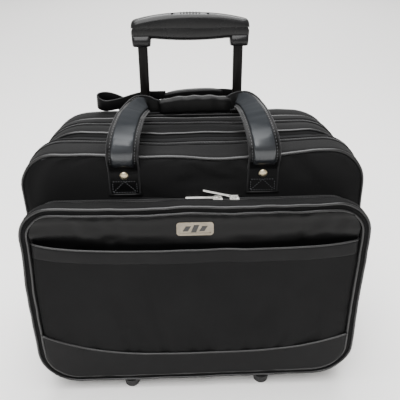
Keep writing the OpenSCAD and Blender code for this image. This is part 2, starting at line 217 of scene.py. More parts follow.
@dataclass(frozen=True)
class Cloth:
    """Plain woven nylon with a fine sheen, woven square to the object's axes."""

    name: str
    dark: Colour
    light: Colour
    pitch: float = 1.0
    relief: float = 0.25
    roughness: float = 0.72
    sheen: float = 0.12

    def build(self) -> bpy.types.Material:
        """Writes the weave, a soft mottling and pale dust on the high threads.

        Returns:
            The material.
        """
        r = Recipe(self.name, Sheen_Weight=self.sheen, Sheen_Roughness=0.45,
                   Specular_IOR_Level=0.12)
        point, x, y, z = r.place()
        facing = r.node("ShaderNodeSeparateXYZ", None, {
            0: r.node("ShaderNodeVectorMath", {"operation": "ABSOLUTE"}, {
                0: r.node("ShaderNodeNewGeometry").outputs["Normal"]}).outputs[0]})
        nx, ny, nz = (Value(r, s) for s in facing.outputs)
        sideways = (nx > ny) * (nx > nz)
        upwards = nz > ny
        across = x * (1 - sideways) + y * sideways
        along = z * (1 - upwards) + y * upwards * (1 - sideways) + z * upwards * sideways
        turn = 2 * math.pi / (self.pitch * MM)
        warp = (across * turn).sine()
        weft = (along * turn).sine()
        weave = warp * weft * 0.5 + 0.5
        mottle = r.noise(point, 14.0, 3.0)
        fleck = r.noise(point, 700.0, 1.0)
        shade = (weave * 0.45 + mottle * 0.35 + fleck * 0.3 - 0.05).clamp()
        r.bump(weave * 0.7 + fleck * 0.3, self.relief * MM, 0.6)
        return r.surface(r.mix(shade, self.dark, self.light),
                         self.roughness - mottle * 0.14)


@dataclass(frozen=True)
class Vinyl:
    """Leather-like vinyl with a pebble grain, rubbed high spots and, if asked, painted shade above
    a height.
    """

    name: str
    dark: Colour
    light: Colour
    roughness: float
    grain: float = 900.0
    relief: float = 0.12
    coat: float = 0.0
    gloss: float = 0.3
    tint: Colour = (1.0, 1.0, 1.0)
    # height in metres above which painted shade darkens the colour while the coat and gloss fade; 0
    # for none
    painted_shade_above: float = 0.0

    def build(self) -> bpy.types.Material:
        """Writes the pebble grain, its creases, a slow change of gloss and painted shade that
        darkens the colour above a height.

        Returns:
            The material.
        """
        r = Recipe(self.name, Coat_Weight=self.coat, Coat_Roughness=0.22,
                   Specular_IOR_Level=self.gloss, Specular_Tint=(*self.tint, 1.0))
        point, _, _, z = r.place()
        pebble = r.value("ShaderNodeTexVoronoi", {"feature": "SMOOTH_F1"},
                         {"Vector": point, "Scale": self.grain, "Smoothness": 0.6})
        crease = r.noise(point, 60.0, 4.0)
        rubbed = r.noise(point, 9.0, 3.0)
        r.bump(pebble * 0.6 + crease * 0.8, self.relief * MM, 0.55)
        tone = (rubbed * 0.8 + crease * 0.4 - pebble * 0.25 - 0.1).clamp()
        rough = self.roughness + rubbed * 0.14 + pebble * 0.06
        # Painted shade: above the height the colour darkens towards its dark tone, and the coat and
        # the gloss fade.
        if self.painted_shade_above:
            dull_and_painted_shade = ((z - self.painted_shade_above) * 45).clamp()
            tone, rough = tone * (1 - dull_and_painted_shade * 0.9), rough + dull_and_painted_shade * 0.42
            r.plug(r.shader.inputs["Coat Weight"], (1 - dull_and_painted_shade) * self.coat)
        return r.surface(r.mix(tone, self.dark, self.light), rough.clamp())


@dataclass(frozen=True)
class Moulding:
    """Moulded plastic or rubber with a fine spark-eroded texture."""

    name: str
    colour: Colour
    roughness: float
    texture: float = 1600.0
    relief: float = 0.05
    dust: float = 0.25
    gloss: float = 0.35

    def build(self) -> bpy.types.Material:
        """Writes the texture, faint handling marks and a little dust.

        Returns:
            The material.
        """
        r = Recipe(self.name, Specular_IOR_Level=self.gloss)
        point, _, _, _ = r.place()
        pits = r.noise(point, self.texture, 2.0)
        marks = r.noise(point, 26.0, 4.0)
        pale = tuple(min(1.0, c * 1.8 + 0.006) for c in self.colour)
        r.bump(pits, self.relief * MM, 0.5)
        return r.surface(r.mix((marks * self.dust * 1.6).clamp(), self.colour, pale),
                         (self.roughness + (marks - 0.5) * 0.22).clamp())


@dataclass(frozen=True)
class Metal:
    """Bare, plated or anodised metal with drawn lines along one axis."""

    name: str
    colour: Colour
    worn: Colour
    roughness: float
    metallic: float = 1.0
    lines: tuple[float, float, float] = (60.0, 60.0, 3.0)
    gloss: float = 0.5

    def build(self) -> bpy.types.Material:
        """Writes the drawn lines and a slow tarnish.

        Returns:
            The material.
        """
        r = Recipe(self.name, Metallic=self.metallic, Specular_IOR_Level=self.gloss)
        point, _, _, _ = r.place()
        drawn = r.noise(r.stretch(point, self.lines), 40.0, 2.0)
        tarnish = r.noise(point, 70.0, 3.0)
        r.bump(drawn, 0.02 * MM, 0.4)
        return r.surface(r.mix((tarnish * 1.6 - 0.4).clamp(), self.colour, self.worn),
                         (self.roughness + drawn * 0.12 + tarnish * 0.1 - 0.08).clamp())


class Finish(Enum):
    """Every finish on the case, with the record's slot that it stands for."""

    NYLON = ("fabric", Cloth("black_nylon", (0.0022, 0.0022, 0.0023), (0.0095, 0.0095, 0.0098),
                             roughness=0.9, sheen=0.012))
    LINING = ("lining", Cloth("charcoal_lining", (0.022, 0.0225, 0.024),
                              (0.052, 0.053, 0.056), pitch=1.4, sheen=0.1))
    TAPE = ("zip_tape", Cloth("zip_tape", (0.0018, 0.0018, 0.002), (0.006, 0.006, 0.0064),
                              pitch=0.8, relief=0.3, sheen=0.03))
    VINYL = ("vinyl", Vinyl("black_vinyl", (0.001, 0.001, 0.0011), (0.0042, 0.0042, 0.0044), 0.27,
                            gloss=0.16))
    TRIM = ("vinyl", Vinyl("satin_vinyl", (0.003, 0.003, 0.0032), (0.009, 0.009, 0.0095), 0.46,
                           gloss=0.12))
    PIPING = ("vinyl", Vinyl("piping_vinyl", (0.003, 0.003, 0.0032), (0.009, 0.009, 0.0095),
                             0.28, grain=1400.0, relief=0.06, gloss=0.5))
    # The strap's colour gets painted shade above 0.35 m, where its upper part turns away from the
    # light.
    STRAP = ("strap", Vinyl("strap_vinyl", (0.004, 0.0044, 0.0055), (0.012, 0.013, 0.0155),
                            0.25, grain=1200.0, relief=0.2, coat=0.85, gloss=0.24,
                            tint=(0.82, 0.92, 1.0), painted_shade_above=0.35))
    WEBBING = ("strap", Cloth("strap_binding", (0.005, 0.005, 0.0055), (0.018, 0.018, 0.019),
                              pitch=1.2, relief=0.3, roughness=0.5))
    THREAD = ("strap", Moulding("stitching_thread", (0.075, 0.077, 0.082), 0.5))
    GRIP = ("grip", Moulding("grip_plastic", (0.006, 0.006, 0.0063), 0.26, dust=0.12,
                             gloss=0.26))
    BUTTON = ("button", Moulding("button_plastic", (0.022, 0.022, 0.023), 0.35))
    BASE = ("base_plastic", Moulding("black_plastic", (0.006, 0.006, 0.0063), 0.5, 900.0, 0.12))
    FOOT = ("foot_rubber", Moulding("foot_rubber", (0.005, 0.005, 0.005), 0.75))
    TREAD = ("tyre", Moulding("wheel_tread", (0.007, 0.007, 0.007), 0.62, 700.0, 0.1, 0.6))
    HUB = ("hub", Moulding("wheel_hub", (0.10, 0.10, 0.104), 0.42))
    TUBE = ("tube", Metal("black_tube", (0.002, 0.0018, 0.0017), (0.006, 0.0052, 0.0048), 0.3, 0.0,
                          gloss=0.14))
    STEEL = ("steel", Metal("zinc_steel", (0.56, 0.56, 0.57), (0.42, 0.41, 0.40), 0.3))
    NICKEL = ("zip_metal", Metal("bright_nickel", (0.95, 0.94, 0.90), (0.86, 0.85, 0.81), 0.34,
                                 0.5))
    BRASS = ("brass", Metal("pale_brass", (0.72, 0.64, 0.45), (0.5, 0.42, 0.27), 0.28))
    PLATE = ("plate", Metal("warm_nickel", (0.27, 0.24, 0.19), (0.16, 0.14, 0.11), 0.34,
                            lines=(3.0, 60.0, 60.0)))
    INK = ("button", Moulding("badge_enamel", (0.02, 0.019, 0.018), 0.3))

    def __init__(self, slot: str, look: Any) -> None:
        """Keeps the slot's name and the look.

        Args:
            slot: the record's material slot.
            look: the dataclass that builds the material.
        """
        self.slot = slot
        self.look = look

    def material(self) -> bpy.types.Material:
        """The finish's material, built the first time it is asked for."""
        return bpy.data.materials.get(self.look.name) or self.look.build()


# ---------------------------------------------------------------- mesh work


def smooth(t: Any) -> Any:
    """Smoothstep of t, held between 0 and 1."""
    t = np.clip(t, 0.0, 1.0)
    return t * t * (3 - 2 * t)


def curve_through(points: Sequence[Sequence[float]], count: int) -> Array:
    """A smooth curve through the points, as count points spaced evenly along it.

    Args:
        points: the points, each with any number of coordinates.
        count: how many points to return.

    Returns:
        An array with one row for each point.
    """
    p = np.array(points, float)
    p = np.vstack([2 * p[0] - p[1], p, 2 * p[-1] - p[-2]])
    fine = []
    for a, b, c, d in zip(p, p[1:], p[2:], p[3:]):
        t = np.linspace(0, 1, 24, endpoint=False)[:, None]
        fine.append(0.5 * (2 * b + (c - a) * t + (2 * a - 5 * b + 4 * c - d) * t**2
                           + (3 * b - a - 3 * c + d) * t**3))
    fine = np.vstack([*fine, p[-2][None]])
    run = np.r_[0, np.cumsum(np.linalg.norm(np.diff(fine[:, :3], axis=0), axis=1))]
    spots = np.linspace(0, run[-1], count)
    return np.stack([np.interp(spots, run, fine[:, k]) for k in range(fine.shape[1])], 1)


def unit(vectors: Array) -> Array:
    """Vectors, along the last axis, brought to length 1."""
    return vectors / (np.linalg.norm(vectors, axis=-1, keepdims=True) + TINY)


def squared(across: Array, heading: Array) -> Array:
    """The unit directions nearest to across that are square to heading."""
    return unit(across - heading * np.sum(across * heading, 1)[:, None])


def along(path: Array) -> tuple[float, Callable[[float], Array]]:
    """A path's length, and a function that gives its point at a distance from its start."""
    run = np.r_[0, np.cumsum(np.linalg.norm(np.diff(path, axis=0), axis=1))]
    return run[-1], lambda s: np.array([np.interp(s, run, path[:, k]) for k in range(3)])


def border(rows: int, columns: int) -> list[tuple[tuple[int, int], tuple[int, int]]]:
    """The edges round a grid, each as its two points' (row, column).

    Args:
        rows: how many rows of points the grid has.
        columns: how many columns.

    Returns:
        The edges, in order round the grid.
    """
    rim = ([(0, j) for j in range(columns)] + [(i, columns - 1) for i in range(1, rows)]
           + [(rows - 1, j) for j in range(columns - 2, -1, -1)]
           + [(i, 0) for i in range(rows - 2, 0, -1)])
    return list(zip(rim, rim[1:] + rim[:1]))


class Mesh:
    """Gathers patches of points, in millimetres, into one mesh."""

    def __init__(self) -> None:
        """Starts with nothing."""
        self.points: list[Array] = []
        self.faces: list[tuple[int, ...]] = []
        self.slots: list[int] = []
        self.total = 0

    def add(self, points: Array) -> int:
        """Adds loose points.

        Args:
            points: the points, three numbers each.

        Returns:
            The number of the first.
        """
        first = self.total
        self.points.append(np.asarray(points, float).reshape(-1, 3))
        self.total += len(self.points[-1])
        return first

    def grid(self, points: Array, ring: bool = False, loop: bool = False,
             slot: int | Sequence[int] = 0) -> int:
        """Adds a patch of quads.

        Args:
            points: rows by columns by 3.
            ring: whether each row closes on itself.
            loop: whether the last row joins the first.
            slot: the material slot of its faces, or one for each row.

        Returns:
            The number of the patch's first point.
        """
        rows, columns = points.shape[:2]
        first = self.add(points)
        for i in range(rows if loop else rows - 1):
            for j in range(columns if ring else columns - 1):
                a, b = i * columns, ((i + 1) % rows) * columns
                k = (j + 1) % columns
                self.faces.append((first + a + j, first + a + k, first + b + k, first + b + j))
                self.slots.append(slot if isinstance(slot, int) else slot[i])
        return first

    def cap(self, corners: Sequence[int], slot: int = 0) -> None:
        """Adds one face on points that are already there."""
        self.faces.append(tuple(corners))
        self.slots.append(slot)

    def bar(self, rings: Array, slot: int = 0) -> None:
        """Joins closed rings, rings by points by 3, into a bar with a face at each end.

        Args:
            rings: the rings, from one end to the other.
            slot: its material slot.
        """
        first = self.grid(rings, ring=True, slot=slot)
        n, m = rings.shape[:2]
        for end in (first, first + (n - 1) * m):
            self.cap(range(end, end + m), slot)

    def sheet(self, points: Array, thickness: float, slots: tuple[int, int] = (0, 0)) -> None:
        """Adds a patch with a thickness, behind it as its normals say.

        Args:
            points: rows by columns by 3, the front.
            thickness: how far the back lies behind.
            slots: the material slots of the front and the back.
        """
        normals = unit(np.cross(np.gradient(points, axis=1), np.gradient(points, axis=0)))
        back = points - normals * thickness
        rows, columns = points.shape[:2]
        a = self.grid(points, slot=slots[0])
        b = self.grid(back[:, ::-1], slot=slots[1])
        for (i, j), (k, m) in border(rows, columns):
            self.cap((a + k * columns + m, a + i * columns + j,
                      b + i * columns + columns - 1 - j, b + k * columns + columns - 1 - m),
                     slots[0])

    def tube(self, path: Array, section: Array, across: Array | None = None,
             closed: bool = False, slot: int = 0) -> None:
        """Sweeps a closed section along a path.

        Args:
            path: points along the middle.
            section: points (side, up), one list or one for each point of the path.
            across: the direction of side at each point; found by parallel transport if left out.
            closed: whether the path closes on itself.
            slot: the material slot of its faces.
        """
        path = np.asarray(path, float)
        heading = unit(np.roll(path, -1, 0) - np.roll(path, 1, 0) if closed
                       else np.gradient(path, axis=0))
        if across is None:
            side = np.zeros_like(path)
            start = np.array([0, 1.0, 0]) if abs(heading[0, 1]) < 0.8 else np.array([1.0, 0, 0])
            for i, ahead in enumerate(heading):
                start = start - ahead * (start @ ahead)
                start /= np.linalg.norm(start)
                side[i] = start
        else:
            side = squared(across, heading)
        up = np.cross(heading, side)
        section = np.asarray(section, float)
        if section.ndim == 2:
            section = np.repeat(section[None], len(path), 0)
        rings = path[:, None] + side[:, None] * section[..., :1] + up[:, None] * section[..., 1:]
        if closed:
            self.grid(rings, ring=True, loop=True, slot=slot)
        else:
            self.bar(rings, slot)

    def stitches(self, path: Array, pitch: float = 4.0, long: float = 2.7,
                 thick: float = 0.5, slot: int = 0) -> None:
        """Adds a row of thread stitches along a path, half sunk in the surface.

        Args:
            path: the points that they follow.
            pitch: from one stitch to the next.
            long: a stitch's length.
            thick: half a stitch's thickness.
            slot: their material slot.
        """
        length, at = along(path)
        for s in np.arange(pitch / 2, length - long / 2, pitch):
            ends = [at(s + e) for e in (-long / 2, 0, long / 2)]
            lead = unit(ends[2] - ends[0])
            a = unit(np.cross(lead, [0.3, 0.5, 0.81])) * thick
            b = np.cross(lead, a)
            first = self.add(np.array([ends[0], ends[1] + a, ends[1] + b,
                                       ends[1] - a, ends[1] - b, ends[2]]))
            for k in range(4):
                m = 1 + (k + 1) % 4
                self.cap((first, first + 1 + k, first + m), slot)
                self.cap((first + 5, first + m, first + 1 + k), slot)

    def make(self, name: str, *finishes: Finish, flat: bool = False) -> bpy.types.Object:
        """Makes the Blender object, in metres, with its normals outwards.

        Args:
            name: the piece's name.
            finishes: the finish of each material slot.
            flat: whether the faces are shaded flat.

        Returns:
            The object.
        """
        data = bpy.data.meshes.new(name)
        data.from_pydata((np.vstack(self.points) * MM).tolist(), [], self.faces)
        for finish in finishes:
            data.materials.append(finish.material())
        data.polygons.foreach_set("material_index", self.slots)
        data.polygons.foreach_set("use_smooth", [not flat] * len(self.faces))
        work = bmesh.new()
        work.from_mesh(data)
        bmesh.ops.recalc_face_normals(work, faces=work.faces)
        work.to_mesh(data)
        work.free()
        made = bpy.data.objects.new(name, data)
        bpy.context.scene.collection.objects.link(made)
        return made


def circle(radius: float, sides: int = 10) -> Array:
    """A round section."""
    a = np.linspace(0, 2 * math.pi, sides, endpoint=False)
    return np.stack([np.cos(a) * radius, np.sin(a) * radius], 1)


def rounded(half_w: float, half_h: float, r: float, steps: int = 4) -> Array:
    """A rounded rectangle as a section.

    Args:
        half_w: half its width.
        half_h: half its height.
        r: its corners' radius.
        steps: points in each corner.

    Returns:
        Its points, in order.
    """
    spots = []
    for k, (sx, sy) in enumerate(((1, 1), (-1, 1), (-1, -1), (1, -1))):
        for a in np.radians(np.linspace(90 * k, 90 * k + 90, steps)):
            spots.append((sx * (half_w - r) + r * math.cos(a), sy * (half_h - r) + r * math.sin(a)))
    return np.array(spots)


def carve(piece: bpy.types.Object, *boxes: Box) -> None:
    """Cuts boxes out of a piece.

    Args:
        piece: the piece.
        boxes: each its low corner and its high corner.

    Raises:
        ValueError: if nothing is left.
    """
    for (x0, y0, z0), (x1, y1, z1) in boxes:
        tool = Mesh()
        tool.bar(np.array([[(x0, y0, z), (x1, y0, z), (x1, y1, z), (x0, y1, z)]
                           for z in (z0, z1)]))
        cutter = tool.make("cutter", Finish.BASE, flat=True)
        cut = piece.modifiers.new("boolean", "BOOLEAN")
        cut.operation, cut.object, cut.solver = "DIFFERENCE", cutter, "EXACT"
        bpy.context.view_layer.objects.active = piece
        with bpy.context.temp_override(object=piece, active_object=piece):
            bpy.ops.object.modifier_apply(modifier=cut.name)
        bpy.data.objects.remove(cutter)
    if not piece.data.polygons:
        raise ValueError(f"nothing is left of {piece.name}")


# ---------------------------------------------------------------- the soft body's shape


@dataclass(frozen=True)
class Outline:
    """A rounded rectangle in the XZ plane."""

    width: float
    low: float
    top: float
    r_top: float
    r_low: float
    corner: int = 12
    side: int = 34
    edge: int = 64

    def loop(self, inset: float = 0.0) -> Array:
        """The outline drawn inwards, from the middle of its bottom and up its right side.

        Args:
            inset: how far in.

        Returns:
            Points (x, z). Loops of every inset have the same count.
        """
        half = self.width / 2
        spots: list[tuple[float, float]] = []

        def turn(cx: float, cz: float, r: float, start: float) -> None:
            """Adds a corner round (cx, cz), from the angle start."""
            r = max(r - inset, 0.4)
            for a in np.radians(np.linspace(start, start + 90, self.corner)):
                spots.append((cx + r * math.cos(a), cz + r * math.sin(a)))

        def straight(a: tuple[float, float], b: tuple[float, float], n: int) -> None:
            """Adds the points between a and b that cut the line into n parts."""
            for t in np.linspace(0, 1, n + 1)[1:-1]:
                spots.append((a[0] + (b[0] - a[0]) * t, a[1] + (b[1] - a[1]) * t))

        spots.append((0.0, self.low + inset))
        straight(spots[0], (half - self.r_low, self.low + inset), self.edge // 2)
        turn(half - self.r_low, self.low + self.r_low, self.r_low, 270)
        straight(spots[-1], (half - inset, self.top - self.r_top), self.side)
        turn(half - self.r_top, self.top - self.r_top, self.r_top, 0)
        straight(spots[-1], (self.r_top - half, self.top - inset), self.edge)
        turn(self.r_top - half, self.top - self.r_top, self.r_top, 90)
        straight(spots[-1], (inset - half, self.low + self.r_low), self.side)
        turn(self.r_low - half, self.low + self.r_low, self.r_low, 180)
        straight(spots[-1], (0.0, self.low + inset), self.edge // 2)
        return np.array(spots)

    def half_width(self, z: Array, inset: float = 0.0) -> Array:
        """How far the outline, drawn inwards, reaches to each side at height z.

        Args:
            z: the heights.
            inset: how far inwards it's drawn.

        Returns:
            Half its width at each height.
        """
        up = np.clip(z - (self.top - self.r_top), 0, self.r_top - inset)
        down = np.clip(self.low + self.r_low - z, 0, self.r_low - inset)
        r_top, r_low = self.r_top - inset, self.r_low - inset
        return (self.width / 2 - inset - (r_top - np.sqrt(np.maximum(r_top**2 - up**2, 0)))
                - (r_low - np.sqrt(np.maximum(r_low**2 - down**2, 0))))

    def panel(self, inset: float, low: float, high: float | Callable[[Array], Array],
              columns: int, rows: int) -> tuple[Array, Array]:
        """A grid that fills the outline between two edges.

        Args:
            inset: how far inside the outline its sides stay.
            low: height of the lower edge.
            high: height of the upper edge, or a function of x that gives it.
            columns: points across.
            rows: points up.

        Returns:
            The grid's x and z, rows by columns.
        """
        u, v = np.meshgrid(np.linspace(-1, 1, columns), np.linspace(0, 1, rows))
        v = v - 0.045 * np.sin(2 * math.pi * v)
        x, z = u * self.width / 2, v
        for _ in range(6):
            z = low + ((high(x) if callable(high) else high) - low) * v
            x = u * self.half_width(z, inset)
        return x, z

    def margin(self, x: Array, z: Array) -> Array:
        """How far inside the outline each point lies.

        Args:
            x: the points' places along X.
            z: their heights.

        Returns:
            The distances, below 0 outside.
        """
        middle = (self.low + self.top) / 2
        r = np.where(z > middle, self.r_top, self.r_low)
        qx = np.abs(x) - self.width / 2 + r
        qz = np.abs(z - middle) - (self.top - self.low) / 2 + r
        outside = np.hypot(np.maximum(qx, 0), np.maximum(qz, 0))
        return r - outside - np.minimum(np.maximum(qx, qz), 0)


@dataclass(frozen=True)
class Slump:
    """How the soft body gives under its own weight, as a field that moves any point."""

    front_dip: float = 7.0
    dip_span: float = 118.0
    swell: float = 2.0
    ripple: float = 0.8
    taper: float = 6.5
    hitch: float = 2.5

    def __call__(self, p: Array) -> Array:
        """Moves points to where the slumped body has them.

        Args:
            p: points, any shape ending in 3.

        Returns:
            The moved points.
        """
        p = np.array(p, float)
        x, y, z = p[..., 0].copy(), p[..., 1].copy(), p[..., 2].copy()
        depth = self.front_dip * np.clip(1 - (y + 50) / 105, 0.12, 1)
        lift = smooth((z - 268) / 66) * (y > -56)
        bell = np.exp(-((x - 14) / self.dip_span) ** 4)
        wave = np.sin(x / 31 + y / 17) * 0.6 + np.sin(x / 13 - y / 29 + 1.2) * 0.4
        sag = 2.2 * np.exp(-((x - 34) / 30) ** 2) - 1.2 * np.exp(-((x + 34) / 26) ** 2)
        p[..., 2] += lift * (-depth * bell + self.ripple * wave - sag * smooth((-20 - y) / 24))
        brim = smooth((z - 235) / 50) * smooth((-54 - y) / 10)
        rise = (1.6 * np.cos((x + 8) / 22) * np.exp(-((x + 10) / 60) ** 2)
                + 1.4 * smooth((np.abs(x) - 120) / 60) - 1.0)
        p[..., 2] += brim * rise
        sides = smooth((np.abs(x) - 150) / 60)
        puff = np.exp(-((z - 232) / 42) ** 2) - 0.5 * np.exp(-((z - 150) / 60) ** 2)
        puff = puff * smooth((-25 - y) / 28) * np.where(x > 0, 1.0, 0.7)
        p[..., 0] += sides * self.swell * puff
        tuck = self.taper * smooth((z - 170) / 150) * smooth((y + 14) / 34)
        p[..., 0] -= tuck * np.clip(x / 150, -1, 1)
        rise = smooth((70 - z) / 40) * smooth((x + 60) / 240) * smooth((-y - 20) / 30)
        p[..., 2] += self.hitch * rise
        return p


SLUMP = Slump()
ZIP_END = 96.0   # height at which every side zip ends


def wander(p: Array, size: float, reach: float, seed: float) -> Array:
    """Smooth noise of about the given size at each point, for puckers and creases."""
    flat = np.asarray(p, float).reshape(-1, 3)
    got = [noise.noise(Vector((q[0] / reach + seed, q[1] / reach, q[2] / reach))) for q in flat]
    return np.array(got).reshape(np.shape(p)[:-1]) * size


def strayed(path: Array, sizes: Sequence[float], reaches: Sequence[float], seed: float) -> Array:
    """A path with smooth noise on each coordinate.

    Args:
        path: its points.
        sizes: the noise's size along X, Y and Z.
        reaches: how far apart its bumps lie.
        seed: a number that makes it the path's own.

    Returns:
        The moved points.
    """
    return path + np.stack([wander(path, size, reach, seed + shift)
                            for size, reach, shift in zip(sizes, reaches, (0, 5, 9))], 1)


def above_ends(path: Array) -> Array:
    """The stretch of a loop above the zips' ends, from its right to its left."""
    inside = np.nonzero(path[:, 2] > ZIP_END)[0]
    return path[inside[0]:inside[-1] + 1]


# ---------------------------------------------------------------- cloth simulation


@dataclass(frozen=True)
class Filling:
    """A short cloth simulation that fills out a stitched panel."""

    pressure: float
    cap: float
    shrink: float = -0.02
    frames: int = 18

    def relax(self, points: Array, free_top: bool = False) -> Array:
        """Fills out a grid of points whose border is stitched down.

        Args:
            points: rows by columns by 3, in millimetres, with the front towards its normals.
            free_top: whether the last row is left unstitched.
        """
        rows, columns = points.shape[:2]
        sewn = [i * columns + j for i in range(rows) for j in range(columns)
                if i == 0 or j in (0, columns - 1) or (i == rows - 1 and not free_top)]
        data = bpy.data.meshes.new("panel")
        data.from_pydata((points.reshape(-1, 3) * MM).tolist(), [], [
            (i * columns + j, i * columns + j + 1, (i + 1) * columns + j + 1, (i + 1) * columns + j)
            for i in range(rows - 1) for j in range(columns - 1)])
        piece = bpy.data.objects.new("panel", data)
        scene = bpy.context.scene
        scene.collection.objects.link(piece)
        piece.vertex_groups.new(name="seam").add(sewn, 1.0, "REPLACE")
        cloth = piece.modifiers.new("cloth", "CLOTH")
        for key, choice in {"quality": 5, "mass": 0.25, "tension_stiffness": 18,
                            "compression_stiffness": 12, "bending_stiffness": 1.2,
                            "air_damping": 4, "use_pressure": True,
                            "uniform_pressure_force": self.pressure,
                            "shrink_min": self.shrink, "vertex_group_mass": "seam"}.items():
            setattr(cloth.settings, key, choice)
        cloth.settings.effector_weights.gravity = 0
        cloth.collision_settings.use_collision = False
        cloth.point_cache.frame_start = 1
        cloth.point_cache.frame_end = self.frames
        for moment in range(1, self.frames + 1):
            scene.frame_set(moment)
        graph = bpy.context.evaluated_depsgraph_get()
        after = np.array([v.co for v in piece.evaluated_get(graph).data.vertices])
        bpy.data.objects.remove(piece)
        scene.frame_set(1)
        move = after.reshape(points.shape) / MM - points
        far = np.linalg.norm(move, axis=2, keepdims=True)
        LOG.info("panel filled out by up to %.1f mm", far.max())
        return points + move * np.minimum(1.0, self.cap / np.maximum(far, TINY))


# ---------------------------------------------------------------- how pieces are held


@dataclass(frozen=True)
class Hold:
    """What a piece moves with: one body, or two bodies, in which case the piece is left where it
    stands and nothing bends it.
    """

    body: str
    second: str = ""
    start: tuple[float, float, float] = (0.0, 0.0, 0.0)
    end: tuple[float, float, float] = (0.0, 0.0, 1.0)

    def take(self, piece: bpy.types.Object, *nodes: str) -> bpy.types.Object:
        """Fixes a finished piece to its body; a piece held by two bodies is only baked in place.

        Args:
            piece: the piece, in place.
            nodes: the CAD nodes that it stands for.

        Returns:
            The piece.
        """
        if self.second:
            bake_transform(piece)
        else:
            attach(piece, self.body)
        if nodes:
            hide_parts(*nodes)
        LOG.info("%s: %d faces", piece.name, len(piece.data.polygons))
        return piece


CASE = Hold("case")
LAPTOP_SECTION = Hold("laptop_section")
MAIN_SECTION = Hold("main_section")
FLAP = Hold("flap")
PULL_HANDLE = Hold("pull_handle")
FOLD = Hold("main_section", "flap", (0, -103, 75), (0, -103, 95))
MAIN_WEB = Hold("laptop_section", "main_section", (0, -8, 50), (0, -16, 50))
LAPTOP_WEB = Hold("case", "laptop_section", (0, 45, 50), (0, 37, 50))
FRONT_ROOT = Hold("main_section", "front_handle", (0, 0, 316), (0, 0, 330))
REAR_ROOT = Hold("case", "rear_handle", (0, 0, 296), (0, 0, 310))

POCKET = Outline(430, 16, 290, 42, 54)
MAIN = Outline(430, 16, 341, 48, 52)
LAPTOP = Outline(430, 16, 345, 64, 50)
REAR = Outline(430, 16, 343, 68, 48)


class Part(Enum):
    """Which stretch of an outline a wall follows."""

    ALL = "all round"
    UPPER = "above the zip's ends"
    LOWER = "below the zip's ends"


@dataclass(frozen=True)
class Rib:
    """One line of a wall's section: an outline drawn inwards at a depth.

    low_y and low_inset, where given, hold below the zips' ends.
    """

    outline: Outline
    y: float
    inset: float
    low_y: float | None = None
    low_inset: float | None = None

    def ring(self, deeper: float = 0.0) -> Array:
        """The line's points, drawn deeper inwards if asked.

        Args:
            deeper: how far inside its own inset.

        Returns:
            Its points, in order round the case.
        """
        upper = self.outline.loop(self.inset + deeper)
        lower = self.outline.loop(
            (self.inset if self.low_inset is None else self.low_inset) + deeper)
        share = smooth((upper[:, 1] - 84) / 46)[:, None]
        flat = lower + (upper - lower) * share
        y = self.y if self.low_y is None else self.low_y + (self.y - self.low_y) * share[:, 0]
        return SLUMP(np.stack([flat[:, 0], np.broadcast_to(y, len(flat)), flat[:, 1]], 1))


@dataclass(frozen=True)
class Wall:
    """Cloth that runs round an outline, with a lining inside it."""

    ribs: tuple[Rib, ...]
    thickness: float = 3.0
    part: Part = Part.ALL

    def add_to(self, mesh: Mesh, outer: int = 0, inner: int = 1) -> None:
        """Adds the wall to a mesh, closed at its edges.

        Args:
            mesh: the mesh.
            outer: the slot of the outside.
            inner: the slot of the lining.
        """
        points = np.array([rib.ring() for rib in self.ribs]
                          + [rib.ring(self.thickness) for rib in reversed(self.ribs)])
        slots = [outer] * len(self.ribs) + [inner] * len(self.ribs)
        if self.part is Part.ALL:
            mesh.grid(points, ring=True, loop=True, slot=slots)
            return
        shifted = np.roll(points, points.shape[1] // 2, 1) if self.part is Part.LOWER else points
        height = shifted[0, :, 2]
        inside = np.nonzero((height < ZIP_END + 4) if self.part is Part.LOWER
                            else (height > ZIP_END))[0]
        cut = shifted[:, inside[0]:inside[-1] + 1]
        first = mesh.grid(cut, loop=True, slot=slots)
        n, m = cut.shape[:2]
        for column in (0, m - 1):
            mesh.cap([first + i * m + column for i in range(n)], outer)


def piping(mesh: Mesh, rib: Rib, radius: float, seed: float, upper: bool = False,
           slot: int = 0) -> None:
    """Adds a cord of piping along a rib, with small puckers.

    Args:
        mesh: the mesh.
        rib: the line that the cord follows.
        radius: the cord's radius.
        seed: a number that makes its puckers its own.
        upper: whether it stops at the zips' ends.
        slot: its material slot.
    """
    path = strayed(rib.ring(), (0.5, 0.5, 0.6), (17, 23, 19), seed)
    mesh.tube(above_ends(path) if upper else path, circle(radius), closed=not upper, slot=slot)


